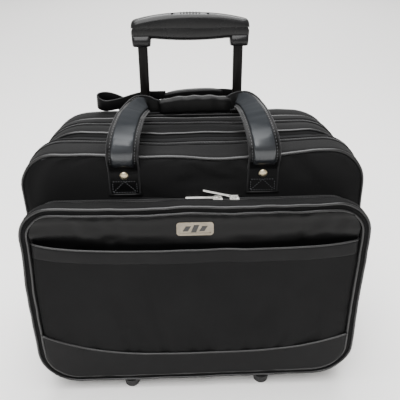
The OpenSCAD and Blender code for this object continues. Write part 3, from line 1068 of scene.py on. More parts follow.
@dataclass(frozen=True)
class ZipEdge:
    """One side of a zip: a strip of tape with its row of teeth."""

    outline: Outline
    tape_y: float
    teeth_y: float
    inset: float = 1.0
    pitch: float = 2.0

    def build(self, name: str, hold: Hold, *nodes: str) -> bpy.types.Object:
        """Makes the tape, its teeth and a folded hem beside it.

        Args:
            name: the piece's name.
            hold: what it moves with.
            nodes: the CAD nodes that it stands for.

        Returns:
            The piece.
        """
        mesh = Mesh()
        lean = -1.0 if self.teeth_y < self.tape_y else 1.0
        Wall((Rib(self.outline, self.tape_y, self.inset),
              Rib(self.outline, self.teeth_y - 0.5 * lean, self.inset)),
             1.0, Part.UPPER).add_to(mesh, 0, 0)
        piping(mesh, Rib(self.outline, self.tape_y, self.inset - 0.5), 1.1, self.tape_y, True, 1)
        length, at = along(above_ends(Rib(self.outline, self.teeth_y, self.inset - 0.3).ring()))
        offset = 0.0 if lean > 0 else self.pitch / 2
        for s in np.arange(2 + offset, length - 2, self.pitch):
            here, step = at(s), (at(s + 0.2) - at(s)) / 0.2
            out = np.cross(step, [0, 1.0, 0])
            corner = [here + step * a * 0.42 + np.array([0, lean * b, 0]) + out * c
                      for c in (-0.7, 0.7) for a, b in ((-1, -1.2), (1, -1.2), (1, 0.8), (-1, 0.8))]
            first = mesh.add(np.array(corner))
            for face in ((0, 1, 2, 3), (4, 5, 6, 7), (0, 1, 5, 4), (1, 2, 6, 5),
                         (2, 3, 7, 6), (3, 0, 4, 7)):
                mesh.cap([first + k for k in face], 2)
        return hold.take(mesh.make(name, Finish.TAPE, Finish.NYLON, Finish.BUTTON), *nodes)


# ---------------------------------------------------------------- sections


def face_panel(name: str, points: Array, thickness: float, hold: Hold, outside: Finish,
               inside: Finish, *nodes: str) -> bpy.types.Object:
    """Makes a panel from a grid of its front points.

    Args:
        name: the piece's name.
        points: rows by columns by 3.
        thickness: how thick it is.
        hold: what it moves with.
        outside: the front's finish.
        inside: the back's finish.
        nodes: the CAD nodes that it stands for.

    Returns:
        The piece.
    """
    mesh = Mesh()
    mesh.sheet(points, thickness, (0, 1))
    return hold.take(mesh.make(name, outside, inside), *nodes)


def flat_panel(outline: Outline, inset: float, y: float, low: float, high: float,
               columns: int = 61, rows: int = 45, facing: int = -1) -> Array:
    """A slumped grid in the plane y that fills an outline between two heights."""
    x, z = outline.panel(inset, low, high, columns, rows)
    points = SLUMP(np.stack([x, np.full_like(x, y), z], 2))
    return points if facing < 0 else points[:, ::-1]


def cup_room(front: float = 80.0) -> Box:
    """The box that the pull handle's cup takes from the cloth behind the depth front."""
    return (-92.4, front, 314.6), (92.4, 120, 400)


@dataclass(frozen=True)
class RearSection:
    """The section behind the laptop: gusset, divider, back panel and laptop pad."""

    split: float = 41.0
    crease: float = 67.0
    housing: tuple[float, float, float] = (164.5, 43.0, 60.5)

    def build(self) -> None:
        """Makes every piece of the section."""
        self.gusset()
        self.divider()
        self.back_panel()
        self.pad()

    def wheel_rooms(self) -> list[Box]:
        """The boxes that the wheel housings take from the cloth."""
        x, y, z = self.housing
        return [((x, y, -5), (300, 140, z)), ((-300, y, -5), (-x, 140, z))]

    def gusset(self) -> None:
        """The two bands of the gusset, creased between, with their pipings."""
        for name, wall, nodes in (
                ("laptop_rear_gusset", Wall((
                    Rib(LAPTOP, self.split + 5.2, 0.6, self.split + 0.3), Rib(LAPTOP, 50, 0),
                    Rib(LAPTOP, 58, 0.2), Rib(LAPTOP, 62.5, 2.2),
                    Rib(LAPTOP, self.crease - 0.6, 6.0))), ()),
                ("rear_gusset", Wall((
                    Rib(REAR, self.crease - 0.6, 6.0), Rib(REAR, 70, 2.6), Rib(REAR, 75, 0.2),
                    Rib(REAR, 84, 0), Rib(REAR, 92, 0.4), Rib(REAR, 95.4, 1.6))), ("rear_shell",))):
            mesh = Mesh()
            wall.add_to(mesh)
            piece = mesh.make(name, Finish.NYLON, Finish.LINING)
            carve(piece, cup_room(66), *self.wheel_rooms())
            CASE.take(piece, *nodes)
        cord = Mesh()
        piping(cord, Rib(LAPTOP, 63.5, 2.2), 1.5, 3)
        piping(cord, Rib(REAR, 96.2, 2.2), 1.6, 4)
        piece = cord.make("rear_pipings", Finish.PIPING)
        carve(piece, cup_room(), *self.wheel_rooms())
        CASE.take(piece)
        ZipEdge(LAPTOP, self.split + 5, self.split + 0.9).build(
            "laptop_zip_rear_tape", CASE)

    def divider(self) -> None:
        """The padded wall between the laptop and the pull handle's tubes."""
        points = flat_panel(REAR, 5.5, 62.2, 21.5, 337.5, 41, 31)
        piece = face_panel("rear_divider", points, 2.6, CASE, Finish.LINING, Finish.NYLON)
        carve(piece, *self.wheel_rooms())

    def back_panel(self) -> None:
        """The back board's cloth, cut out round the grip's cup and the wheels."""
        points = flat_panel(REAR, 2.5, 98.6, 18.5, 340.5, 61, 45, facing=1)
        mesh = Mesh()
        mesh.sheet(points, 2.5, (0, 1))
        piece = mesh.make("back_panel_cloth", Finish.NYLON, Finish.LINING)
        carve(piece, cup_room(), *self.wheel_rooms())
        CASE.take(piece, "back_panel")

    def pad(self) -> None:
        """The quilted pad that a laptop rests against."""
        shape = Outline(400, 63, 300, 30, 12)
        x, z = shape.panel(0.5, 63.5, 299.5, 57, 41)
        edge = np.clip(shape.margin(x, z) / 9, 0, 1)
        quilt = np.abs(np.sin(z / 36 * math.pi)) ** 0.45
        y = 61.2 - 5.6 * np.sqrt(edge) * (0.55 + 0.45 * quilt)
        mesh = Mesh()
        rows, columns = x.shape
        a, b = (mesh.grid(np.stack([x, depth, z], 2)) for depth in (y, np.full_like(x, 61.7)))
        for (i, j), (k, m) in border(rows, columns):
            mesh.cap((a + i * columns + j, a + k * columns + m,
                      b + k * columns + m, b + i * columns + j))
        piece = CASE.take(mesh.make("laptop_pad_cushion", Finish.LINING), "laptop_pad")


@dataclass(frozen=True)
class LaptopSection:
    """The middle section: gusset, divider, pipings and its halves of two zips."""

    front: float = -12.0
    crease: float = 6.0
    split: float = 41.0

    def build(self) -> None:
        """Makes every piece of the section."""
        mesh = Mesh()
        Wall((Rib(MAIN, self.front + 5.2, 0.6, self.front + 0.3), Rib(MAIN, -3, 0),
              Rib(MAIN, 1, 1.6), Rib(MAIN, self.crease - 0.4, 5.6))).add_to(mesh)
        Wall((Rib(LAPTOP, self.crease - 0.4, 6.4), Rib(LAPTOP, 9, 3.6), Rib(LAPTOP, 14, 0.4),
              Rib(LAPTOP, 24, 0), Rib(LAPTOP, 35.6, 0.5, self.split - 0.4))).add_to(mesh)
        LAPTOP_SECTION.take(mesh.make("laptop_gusset", Finish.NYLON, Finish.LINING),
                            "laptop_shell")
        cord = Mesh()
        piping(cord, Rib(LAPTOP, 11.2, 2.0), 1.8, 6)
        LAPTOP_SECTION.take(cord.make("laptop_piping", Finish.PIPING))
        points = flat_panel(MAIN, 5.5, 7.2, 21.5, 335.5, 41, 31)
        face_panel("laptop_divider", points, 2.8, LAPTOP_SECTION, Finish.LINING, Finish.LINING)
        ZipEdge(MAIN, self.front + 5, self.front + 0.9).build("main_zip_rear_tape", LAPTOP_SECTION)
        ZipEdge(LAPTOP, self.split - 5, self.split - 0.9).build(
            "laptop_zip_front_tape", LAPTOP_SECTION, "laptop_zip")
        self.webs()

    def webs(self) -> None:
        """The folds of cloth that join the sections below the zips' ends."""
        for name, outline, y, hold in (("main_web", MAIN, self.front, MAIN_WEB),
                                       ("laptop_web", LAPTOP, self.split, LAPTOP_WEB)):
            mesh = Mesh()
            ribs = tuple(Rib(outline, y + d, 0.15 if abs(d) > 8 else -0.5)
                         for d in (-10, -7, -4, -2, 0, 2, 4, 7, 10))
            Wall(ribs, 1.2, Part.LOWER).add_to(mesh)
            hold.take(mesh.make(name, Finish.NYLON, Finish.LINING))


@dataclass(frozen=True)
class MainSection:
    """The front section: face, gusset, piping, zip and the organiser inside the pocket."""

    face: float = -50.0
    split: float = -12.0

    def build(self) -> None:
        """Makes every piece of the section."""
        mesh = Mesh()
        Wall((Rib(MAIN, self.face + 1.2, 2.6), Rib(MAIN, self.face + 3.4, 0.6),
              Rib(MAIN, -42, 0), Rib(MAIN, -30, 0.3), Rib(MAIN, -22, 0),
              Rib(MAIN, self.split - 5.2, 0.6, self.split - 0.3))).add_to(mesh)
        MAIN_SECTION.take(mesh.make("main_gusset", Finish.NYLON, Finish.LINING))
        points = flat_panel(MAIN, 3.6, self.face, 19.6, 337.4, 71, 53)
        points[..., 1] += wander(points, 0.5, 60, 2)
        filled = Filling(0.5, 2.0).relax(points)
        face_panel("main_face", filled, 3.0, MAIN_SECTION, Finish.NYLON, Finish.LINING,
                   "main_shell")
        cord = Mesh()
        piping(cord, Rib(MAIN, self.face + 0.6, 2.2), 1.9, 8)
        MAIN_SECTION.take(cord.make("main_piping", Finish.PIPING))
        ZipEdge(MAIN, self.split - 5, self.split - 0.9).build("main_zip_tape", MAIN_SECTION,
                                                              "main_zip")
        self.organiser()

    def organiser(self) -> None:
        """The flat sleeves for pens and cards behind the pocket's flap."""
        mesh = Mesh()
        back = Outline(300, 96, 236, 12, 8)
        x, z = back.panel(0.3, 96.3, 235.7, 31, 17)
        mesh.sheet(np.stack([x, np.full_like(x, -52.4), z], 2), 1.6, (0, 0))
        mesh.tube(np.insert(back.loop(1.5), 1, -52.2, 1), circle(1.1, 8), closed=True, slot=1)
        for middle in (-90.0, 0.0, 90.0):
            u, v = np.meshgrid(np.linspace(-1, 1, 15), np.linspace(0, 1, 12))
            y = -52.6 - 1.9 * (1 - u**4) * (0.3 + 0.7 * v)
            pocket = np.stack([middle + 38 * u, y, 110 + 80 * v], 2)
            mesh.sheet(pocket, 0.9, (0, 0))
            mesh.tube(pocket[-1] + [0, 0.4, 0], circle(1.2, 8), slot=1)
        MAIN_SECTION.take(mesh.make("organiser", Finish.LINING, Finish.WEBBING),
                          "organiser_panel")


# ---------------------------------------------------------------- front pocket


def pocket_y(z: Array) -> Array:
    """How far forward the pocket's face stands at height z."""
    return -95.6 - 4.4 * smooth((236 - z) / 60)


@dataclass(frozen=True)
class FrontPocket:
    """The zipped pocket: gusset, doubled piping, yoke, slip pocket and lower band."""

    inner: float = 10.0
    mouth: float = 231.0
    zip_inset: float = 12.4

    def build(self) -> None:
        """Makes every piece of the pocket."""
        self.gusset()
        self.pipings()
        self.yoke()
        self.slip()
        self.lower_band()
        self.linings()
        self.zip_strip()

    def gusset(self) -> None:
        """The gusset, which slopes in to the zip above and runs straight below."""
        mesh = Mesh()
        Wall((Rib(POCKET, -94.5, 1.8, -98.5, 1.8), Rib(POCKET, -91, 0.2, -95, 0),
              Rib(POCKET, -84, 0.9, -86, 0), Rib(POCKET, -76, 3.6, -76, 0),
              Rib(POCKET, -68, 7.6, -64, 0), Rib(POCKET, -60.6, self.zip_inset - 0.8, -50.4, 0))
             ).add_to(mesh)
        FOLD.take(mesh.make("pocket_gusset", Finish.NYLON, Finish.LINING),
                  "flap_shell", "pocket_bucket")

    def face_ring(self, inset: float, forward: float = 0.0) -> Array:
        """A closed line on the pocket's face, drawn inwards."""
        loop = POCKET.loop(inset)
        p = np.stack([loop[:, 0], pocket_y(loop[:, 1]) - forward, loop[:, 1]], 1)
        return SLUMP(p)

    def pipings(self) -> None:
        """The outer and the inner piping, with the strip of cloth between them."""
        mesh = Mesh()
        for inset, radius, forward, seed in ((1.8, 1.7, 0.2, 11.0), (self.inner, 1.5, 1.0, 12.0)):
            path = strayed(self.face_ring(inset, forward), (0.5, 0.7, 0.8), (18, 24, 21), seed)
            mesh.tube(path, circle(radius, 12), closed=True)
        FOLD.take(mesh.make("pocket_pipings", Finish.PIPING))
        strip = Mesh()
        rows = np.array([self.face_ring(i, f) for i, f in
                         ((2.6, 0.2), (4.0, -0.6), (6.0, -1.2), (8.4, -0.6), (12.0, 0.2),
                          (12.0, -2.6), (8.4, -3.0), (4.0, -3.0), (2.6, -2.6))])
        strip.grid(rows, ring=True, loop=True)
        FOLD.take(strip.make("pocket_border", Finish.NYLON))

    def yoke(self) -> None:
        """The glossy panel above the slip pocket."""
        x, z = POCKET.panel(self.inner, 196.0, POCKET.top - self.inner, 81, 33)
        y = -96.3 - 1.7 * np.exp(-((z - 273.5) / 5.5) ** 2) + 3.0 * smooth((256 - z) / 18)
        points = SLUMP(np.stack([x, y, z], 2))
        points[..., 1] += wander(points, 0.6, 44, 21) + wander(points, 0.25, 14, 22)
        filled = Filling(0.5, 1.0).relax(points)
        face_panel("pocket_yoke", filled, 2.0, FLAP, Finish.VINYL, Finish.LINING)

    def mouth_z(self, x: Array) -> Array:
        """The height of the slip pocket's mouth at x."""
        side = np.abs(x / 198) ** 3
        return self.mouth + side * np.where(x < 0, 10.0, 6.0)

    def slip(self) -> None:
        """The slip pocket's cloth, with a leather-like band along its mouth."""
        u, v = np.meshgrid(np.linspace(-1, 1, 91), np.linspace(0, 1, 49))
        x = u * 201.5
        top = self.mouth_z(x)
        z = 57 + (top - 57) * v
        edge = np.abs(u) ** 10
        y = (pocket_y(z) + 0.4) * edge - (100.6 + 2.2 * v**3) * (1 - edge)
        points = SLUMP(np.stack([x, y, z], 2))
        points[..., 1] += (wander(points, 0.7, 60, 31) + wander(points, 0.35, 18, 32)) * (1 - u**8)
        filled = Filling(0.35, 1.6).relax(points, free_top=True)
        filled[..., 1] = np.maximum(filled[..., 1], -104.0)
        face_panel("slip_pocket_cloth", filled, 1.6, FOLD, Finish.NYLON, Finish.LINING,
                   "slip_pocket")
        trim = filled[-9:].copy()
        low, high = self.mouth_z(trim[..., 0]) - 18.5, self.mouth_z(trim[..., 0])
        share = np.linspace(0, 1, 9)[:, None]
        trim[..., 2] = low + (high + 0.6 - low) * share
        trim[..., 1] = trim[..., 1] - 1.0 + 0.5 * np.abs(2 * share - 1) ** 4
        mesh = Mesh()
        mesh.sheet(trim, 1.4, (0, 0))
        mesh.tube(trim[-1] + [0, 0.5, 0.4], circle(1.3), slot=1)
        FLAP.take(mesh.make("slip_pocket_trim", Finish.TRIM, Finish.PIPING))

    def band_top(self, x: Array) -> Array:
        """The height of the lower band's curved top at x."""
        return 64.0 + np.where(x < 0, 34.0, 25.0) * np.abs(x / 199) ** 3.2

    def lower_band(self) -> None:
        """The vinyl band along the bottom, with piping on its curved top."""
        x, z = POCKET.panel(self.inner, POCKET.low + self.inner, self.band_top, 81, 25)
        points = SLUMP(np.stack([x, pocket_y(z) - 2.3, z], 2))
        points[..., 1] += wander(points, 0.6, 50, 41) + wander(points, 0.25, 15, 42)
        mesh = Mesh()
        mesh.sheet(points, 2.6, (0, 0))
        mesh.tube(points[-1] + [0, -0.2, 0.4], circle(1.35), slot=1)
        FOLD.take(mesh.make("lower_band", Finish.TRIM, Finish.PIPING))

    def linings(self) -> None:
        """The backs of the flap and of the pocket's lower part."""
        for name, y, low, high, rows, hold in (
                ("flap_lining", -90.4, 85.0, 286.4, 33, FLAP),
                ("pocket_low_lining", -97.4, 19.5, 83.5, 13, MAIN_SECTION)):
            points = flat_panel(POCKET, 3.4, y, low, high, 51, rows)
            face_panel(name, points, 1.6, hold, Finish.LINING, Finish.LINING)

    def zip_strip(self) -> None:
        """The two tapes of the pocket's zip with their teeth."""
        for name, tape, teeth, hold, nodes in (
                ("pocket_zip_flap_tape", -60.4, -55.9, FLAP, ()),
                ("pocket_zip_tape", -50.6, -54.1, MAIN_SECTION, ("pocket_zip",))):
            ZipEdge(POCKET, tape, teeth, self.zip_inset + 0.4).build(name, hold, *nodes)
        mesh = Mesh()
        for side in (-1, 1):
            path = np.array([[side * x, -55.4, z] for x, z in
                             ((209.0, 84), (211.6, 89), (211.0, 95), (207.0, 101))])
            mesh.tube(path, rounded(6.0, 1.3, 0.8, 3), np.repeat([[0, 1.0, 0]], 4, 0))
        MAIN_SECTION.take(mesh.make("pocket_zip_ends", Finish.VINYL))


# ---------------------------------------------------------------- handles


def pad_section(width: float, height: float) -> Array:
    """The section of a strap's raised, padded band, drawn up from the strap.

    Args:
        width: the band's width.
        height: how far it stands up at its sides.

    Returns:
        Its points, in order.
    """
    w, h = width / 2, height
    half = [(w, 0.0), (w + 0.1, 0.5 * h), (w - 0.7, 0.82 * h), (w - 2.2, 0.97 * h),
            (w * 0.45, 1.04 * h)]
    return np.array(half + [(0.0, 1.06 * h)] + [(-x, y) for x, y in reversed(half)])


def strap_line(rows: Sequence[Sequence[float]], side: int) -> tuple[Array, Array, Array]:
    """A strap's middle line on one side of the case.

    Args:
        rows: for each point x, y, z, the direction across the strap, and its width.
        side: 1 for the right, -1 for the left.

    Returns:
        Its points, the directions across it and its widths.
    """
    data = curve_through(rows, 90)
    path, across = data[:, :3].copy(), data[:, 3:6].copy()
    path[:, 0] *= side
    across[:, 1:] *= side
    return path, across, data[:, 6]


@dataclass(frozen=True)
class FrontHandle:
    """The front carry handle: two padded straps that twist into a wrapped grip."""

    rows: tuple[tuple[float, ...], ...] = (
        (86, -51.15, 284, -1, 0, 0, 38), (86, -51.15, 298, -1, 0, 0, 38),
        (86, -51.15, 308, -1, 0, 0, 38), (86, -51.5, 317, -1, 0, 0, 38),
        (86, -55.0, 325, -1, 0, 0, 38), (86, -59.5, 335, -1, 0, 0, 38),
        (85, -59.5, 349, -1, 0, 0, 38), (82, -47, 364, -1, 0, -0.1, 37),
        (77, -20, 377, -1, -0.05, -0.15, 35), (72, 10, 382, -0.95, -0.1, -0.3, 32),
        (66, 30, 381, -0.75, -0.2, -0.6, 28), (59, 41, 375, -0.4, -0.2, -0.9, 24),
        (52, 46, 370, -0.1, -0.1, -1, 20), (40, 49, 367, 0, 0, -1, 17),
        (26, 50, 367, 0, 0, -1, 14))
    pad_width: float = 26.5
    pad_height: float = 3.2

    def build(self) -> None:
        """Makes the straps and the grip."""
        mesh = Mesh()
        for side, lift in ((1, -3.0), (-1, -8.5)):
            self.strap(mesh, side, lift)
        piece = mesh.make("front_handle_strap_pair", Finish.STRAP, Finish.VINYL,
                          Finish.WEBBING, Finish.THREAD)
        FRONT_ROOT.take(piece, "front_handle_straps", "strap_patches")
        self.grip()

    def strap(self, mesh: Mesh, side: int, lift: float) -> None:
        """Adds one strap.

        Args:
            mesh: the mesh.
            side: 1 for the right, -1 for the left.
            lift: how much higher than drawn its crown stands.
        """
        path, across, widths = strap_line(self.rows, side)
        path[:, 2] += lift * np.exp(-((path[:, 1] - 14) / 34) ** 2)
        loose = smooth((path[:, 2] - 330) / 20)
        path[:, 2] += wander(path, 0.8, 20, side * 3.0) * loose
        mesh.tube(path, np.array([rounded(w / 2, 0.65, 0.5, 3) for w in widths]), across, slot=1)
        heading = unit(np.gradient(path, axis=0))
        breadth = squared(across, heading)
        up = np.cross(heading, breadth)
        for hand in (-1, 1):
            rim = path + breadth * (hand * (widths / 2 - 0.6))[:, None] + up * 0.2
            mesh.tube(rim, circle(1.15, 8), across, slot=2)
        padded = np.nonzero((path[:, 2] > 322) & (path[:, 1] < 40))[0]
        share = np.minimum(widths[padded] / 38, 1.0)
        ramp = np.minimum(np.arange(len(padded)), np.arange(len(padded))[::-1]) / 3.0
        height = self.pad_height * (0.2 + 0.8 * smooth(ramp)) * (
            1 + wander(path[padded], 0.35, 7, side * 9.0))
        mesh.tube(path[padded] + up[padded] * 0.45,
                  np.array([pad_section(self.pad_width * k, h)
                            for k, h in zip(share, height)]), across[padded])
        for hand in (-1, 1):
            seam = (path[padded] + up[padded] * 0.85
                    + breadth[padded] * (hand * (self.pad_width / 2 * share + 1.7))[:, None])
            mesh.stitches(seam[2:-2], slot=3)
        self.patch_stitches(mesh, side)

    def patch_stitches(self, mesh: Mesh, side: int) -> None:
        """Adds the box and cross of stitches that hold a strap's foot.

        Args:
            mesh: the mesh.
            side: 1 for the right strap, -1 for the left.
        """
        bar = np.array([[side * 86 + x, -51.4, 283.6] for x in (-20.5, -10, 0, 10, 20.5)])
        mesh.tube(bar, circle(2.0, 8), slot=1)
        x0, x1, z0, z1, y = side * 86 - 15, side * 86 + 15, 287.0, 302.0, -51.95
        lines = [((x0, z0), (x1, z0)), ((x0, z1), (x1, z1)), ((x0, z0), (x0, z1)),
                 ((x1, z0), (x1, z1)), ((x0, z0), (side * 86, z1)), ((side * 86, z1), (x1, z0))]
        for (ax, az), (bx, bz) in lines:
            t = np.linspace(0, 1, 12)[:, None]
            line = np.array([[ax, y, az]]) * (1 - t) + np.array([[bx, y, bz]]) * t
            mesh.stitches(line, 3.2, 2.4, 0.6, slot=3)

    def grip(self) -> None:
        """Makes the wrapped grip, arched, with a seam and creases at its ends."""
        rows = []
        for x in np.linspace(-44, 57, 39):
            u = (x - 6.5) / 50.5
            tall = 11.8 - 3.2 * abs(u) ** 4
            deep = 6.2 - 1.6 * abs(u) ** 4
            rows.append((x, 49.8 - 1.2 * abs(u) ** 3, 366.8 - 2.6 * u * u + 0.9 * u, tall, deep))
        data = np.array(rows)
        mesh = Mesh()
        sections = np.array([rounded(d, t, min(d, t) * 0.85, 6) for t, d in data[:, 3:5]])
        puckers = 1 + 0.05 * np.sin(np.linspace(0, 30, len(data)))[:, None, None]
        mesh.tube(data[:, :3], sections * puckers,
                  np.repeat([[0, 1.0, 0]], len(data), 0))
        seam = data[:, :3] + np.stack([data[:, 3] * 0, data[:, 4] * -0.2, -data[:, 3] - 0.4], 1)
        mesh.tube(seam[2:-2], circle(1.0, 8), slot=1)
        piece = mesh.make("front_handle_wrap", Finish.VINYL, Finish.WEBBING)
        Hold("front_handle").take(piece, "front_handle_grip")


@dataclass(frozen=True)
class RearHandle:
    """The rear carry handle, whose soft straps loop over the rear section's top."""

    loop: tuple[tuple[float, ...], ...] = (
        (86, 99.6, 263, 1, 0, 0, 34), (86, 99.6, 282, 1, 0, 0, 34), (86, 100.2, 300, 1, 0, 0, 32),
        (86, 101, 322, 1, 0, 0, 28), (88, 102.2, 336, 0.95, 0, -0.3, 24),
        (95, 103.4, 347.5, 0.7, 0, -0.7, 21), (107, 103.8, 355, 0.3, 0, -1, 20),
        (120, 102.4, 359.5, 0, 0, -1, 20), (130.5, 97, 360.5, 0, 0, -1, 19),
        (131, 89.5, 357.5, 0, 0, -1, 17), (121, 85.5, 354.5, 0, 0, -1, 15.5),
        (102, 88.5, 356.5, 0, 0, -1, 15), (83, 95, 361, 0, 0, -1, 14),
        (66, 99.2, 364, 0, 0, -1, 13), (50, 100, 364, 0, 0, -1, 13),
        (36, 100, 364.5, 0, 0, -1, 12))
    rise: tuple[tuple[float, ...], ...] = (
        (86, 99.6, 263, 1, 0, 0, 34), (86, 99.6, 282, 1, 0, 0, 34), (86, 100.2, 300, 1, 0, 0, 32),
        (86, 101, 322, 1, 0, 0, 27), (85, 101.2, 338, 1, 0, 0.2, 22),
        (81, 101.2, 351, 0.85, 0, 0.5, 18), (72, 100.6, 360, 0.5, 0, 0.85, 15),
        (60, 100, 364.5, 0.1, 0, 1, 13), (46, 100, 366, 0, 0, 1, 13), (34, 100, 366.5, 0, 0, 1, 12))

    def build(self) -> None:
        """Makes the two straps and the wrapped grip."""
        mesh = Mesh()
        for side, rows in ((1, self.rise), (-1, self.loop)):
            path, across, widths = strap_line(rows, side)
            mesh.tube(path, np.array([rounded(w / 2, 1.15, 0.9, 3) for w in widths]), across)
        piece = mesh.make("rear_handle_strap_pair", Finish.VINYL)
        REAR_ROOT.take(piece, "rear_handle_straps", "rear_strap_patches")
        mesh = Mesh()
        x = np.linspace(-38, 45, 33)
        u = (x - 3.5) / 41.5
        path = np.stack([x, 100 + 0 * x, 364.4 - 2.0 * u * u + 2.2 * u], 1)
        sections = np.array([rounded(5.0 - 1.2 * abs(k) ** 4, 8.6 - 2.6 * abs(k) ** 4,
                                     3.4 - 0.8 * abs(k) ** 4, 6) for k in u])
        mesh.tube(path, sections, np.repeat([[0, 1.0, 0]], len(x), 0))
        piece = mesh.make("rear_handle_wrap", Finish.VINYL)
        Hold("rear_handle").take(piece, "rear_handle_grip")


@dataclass(frozen=True)
class PullGrip:
    """The telescopic handle's grip: two moulded shells and the release button."""

    middle_y: float = 83.0
    split: float = 462.0
    half: float = 78.0

    def build(self) -> None:
        """Makes the two shells and the button."""
        self.upper()
        self.lower()
        self.button()

    def loft(self, mesh: Mesh, low: Callable[[float], float], high: Callable[[float], float],
             deep: float, top_r: float, low_r: float) -> None:
        """Adds a bar along X between two curves, with its own upper and lower edge radii.

        Args:
            mesh: the mesh.
            low: height of its underside for each x.
            high: height of its top for each x.
            deep: half its depth.
            top_r: its upper edges' radius.
            low_r: its lower edges' radius.
        """
        rings = []
        for x in np.r_[-self.half, -self.half + 0.8, -self.half + 2.6,
                       np.linspace(-self.half + 6, self.half - 6, 41),
                       self.half - 2.6, self.half - 0.8, self.half]:
            near = self.half - abs(x)
            pinch = 1.0 - math.sqrt(max(0.0, 1 - (1 - min(near / 5.0, 1.0)) ** 2))
            z0, z1, d = low(x) + pinch * 2, high(x) - pinch * 4, deep - pinch * 4
            ring = []
            for sy, sz, r, zc, a0 in ((1, 1, top_r, z1, 0), (-1, 1, top_r, z1, 90),
                                      (-1, -1, low_r, z0, 180), (1, -1, low_r, z0, 270)):
                for a in np.radians(np.linspace(a0, a0 + 90, 6)):
                    ring.append((x, self.middle_y + sy * (d - r) + r * math.cos(a),
                                 zc - sz * r + r * math.sin(a)))
            rings.append(ring)
        mesh.bar(np.array(rings))

    def crown(self, x: float) -> float:
        """The height of the grip's arched top at x."""
        return self.split + 18.2 - 9.6 * abs(x / self.half) ** 2.2

    def underside(self, x: float) -> float:
        """The height of the grip's underside at x."""
        return 445.2 + 2.4 * min(1.0, abs(x) / 48) ** 2

    def upper(self) -> None:
        """The upper shell, with the button's well."""
        mesh = Mesh()
        self.loft(mesh, lambda x: self.split + 0.15, self.crown, 11.0, 6.5, 0.3)
        piece = mesh.make("grip_upper_shell", Finish.GRIP)
        carve(piece, ((-24.6, 75.9, 466.8), (24.6, 90.1, 490)), ((-69, 78, 455), (69, 88, 467)))
        PULL_HANDLE.take(piece, "grip_upper")

    def lower(self) -> None:
        """The lower shell and the collars round the tubes."""
        mesh = Mesh()
        self.loft(mesh, self.underside, lambda x: self.split - 0.15, 10.8, 0.3, 7.0)
        piece = mesh.make("grip_lower_shell", Finish.GRIP)
        carve(piece, ((-69, 78, 457), (69, 88, 470)), ((-5.5, 77.5, 449), (5.5, 88.5, 460)),
              *(((s * 64 - 6.8, 77.2, 430), (s * 64 + 6.8, 88.8, 458)) for s in (-1, 1)))
        PULL_HANDLE.take(piece, "grip_lower")
        collars = Mesh()
        for side in (-1, 1):
            rings = []
            for z, grow in ((438.2, -0.6), (439.0, 0.4), (444.0, 0.9), (452.0, 1.1)):
                outer = rounded(11.6 + grow, 9.9 + grow * 0.6, 4.5, 6)
                rings.append([(side * 65.0 + a, self.middle_y + b, z) for a, b in outer])
            for z in (452.0, 438.2):
                inner = rounded(6.9, 5.9, 2.2, 6)
                rings.append([(side * 64 + a, self.middle_y + b, z) for a, b in inner])
            collars.grid(np.array(rings), ring=True, loop=True)
        PULL_HANDLE.take(collars.make("grip_collars", Finish.GRIP))

    def button(self) -> None:
        """The raised release button with ribs along its top."""
        mesh = Mesh()
        rings = []
        for z, grow in ((470.6, 0.0), (477.2, 0.0), (479.0, -0.7), (480.2, -2.4), (480.5, -6.0)):
            ring = rounded(24.0 + grow, 6.5 + grow, max(3.4 + grow * 0.5, 0.3), 6)
            rings.append([(a, self.middle_y + b, z - 1.6 * (a / 24) ** 2 * (z > 475))
                          for a, b in ring])
        mesh.bar(np.array(rings))
        for x in range(-12, 13, 4):
            mesh.tube(np.array([[x, self.middle_y - 4 + k, 480.2 - 1.6 * (x / 24) ** 2]
                                for k in (0, 8)]), circle(0.8, 8))
        Hold("button").take(mesh.make("release_button_cap", Finish.BUTTON), "release_button")


# ---------------------------------------------------------------- kept parts, badge, room


@dataclass(frozen=True)
class Dressing:
    """The finish and edge rounding of CAD parts that are shown as they are."""

    finish: Finish
    nodes: tuple[str, ...]
    edge: float = 0.5
    angle: float = 35.0

    def apply(self) -> None:
        """Gives each node its material and rounds its edges."""
        for name in self.nodes:
            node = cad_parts[name]
            node.data.materials.clear()
            node.data.materials.append(self.finish.material())
            node.data.polygons.foreach_set("use_smooth", [True] * len(node.data.polygons))
            if node.data.attributes.get("custom_normal"):
                node.data.attributes.remove(node.data.attributes["custom_normal"])
            node.modifiers.new("weld", "WELD").merge_threshold = 1e-5
            bevel = node.modifiers.new("edge", "BEVEL")
            bevel.width, bevel.segments, bevel.harden_normals = self.edge * MM, 3, True
            bevel.limit_method, bevel.angle_limit = "ANGLE", math.radians(self.angle)
        LOG.info("%s on %s", self.finish.name, ", ".join(self.nodes))


def both(stem: str) -> tuple[str, str]:
    """The left and right nodes of a pair."""
    return f"{stem}_left", f"{stem}_right"


DRESSINGS = (
    Dressing(Finish.BASE, ("base_tray", "kick_plate", "handle_cup", "tube_bracket"), 0.9),
    Dressing(Finish.BASE, both("wheel_housing"), 1.6),
    Dressing(Finish.FOOT, both("foot"), 0.6),
    Dressing(Finish.TUBE, both("outer_tube") + both("mid_tube") + both("inner_tube"), 0.3),
    Dressing(Finish.STEEL, ("bracket_screws", "push_rods") + both("axle") + both("bearings")
             + both("lock_pin"), 0.25),
    Dressing(Finish.STEEL, ("button_spring",), 0.02, 89.0),
    Dressing(Finish.TREAD, both("tyre"), 0.4),
    Dressing(Finish.HUB, both("hub"), 0.4),
    Dressing(Finish.BRASS, ("strap_rivets",), 0.3),
    Dressing(Finish.PLATE, ("name_plate",), 0.7),
    Dressing(Finish.NICKEL, both("pocket_slider") + both("pocket_pull")
             + ("main_slider", "main_pull", "laptop_slider", "laptop_pull"), 0.4),
)


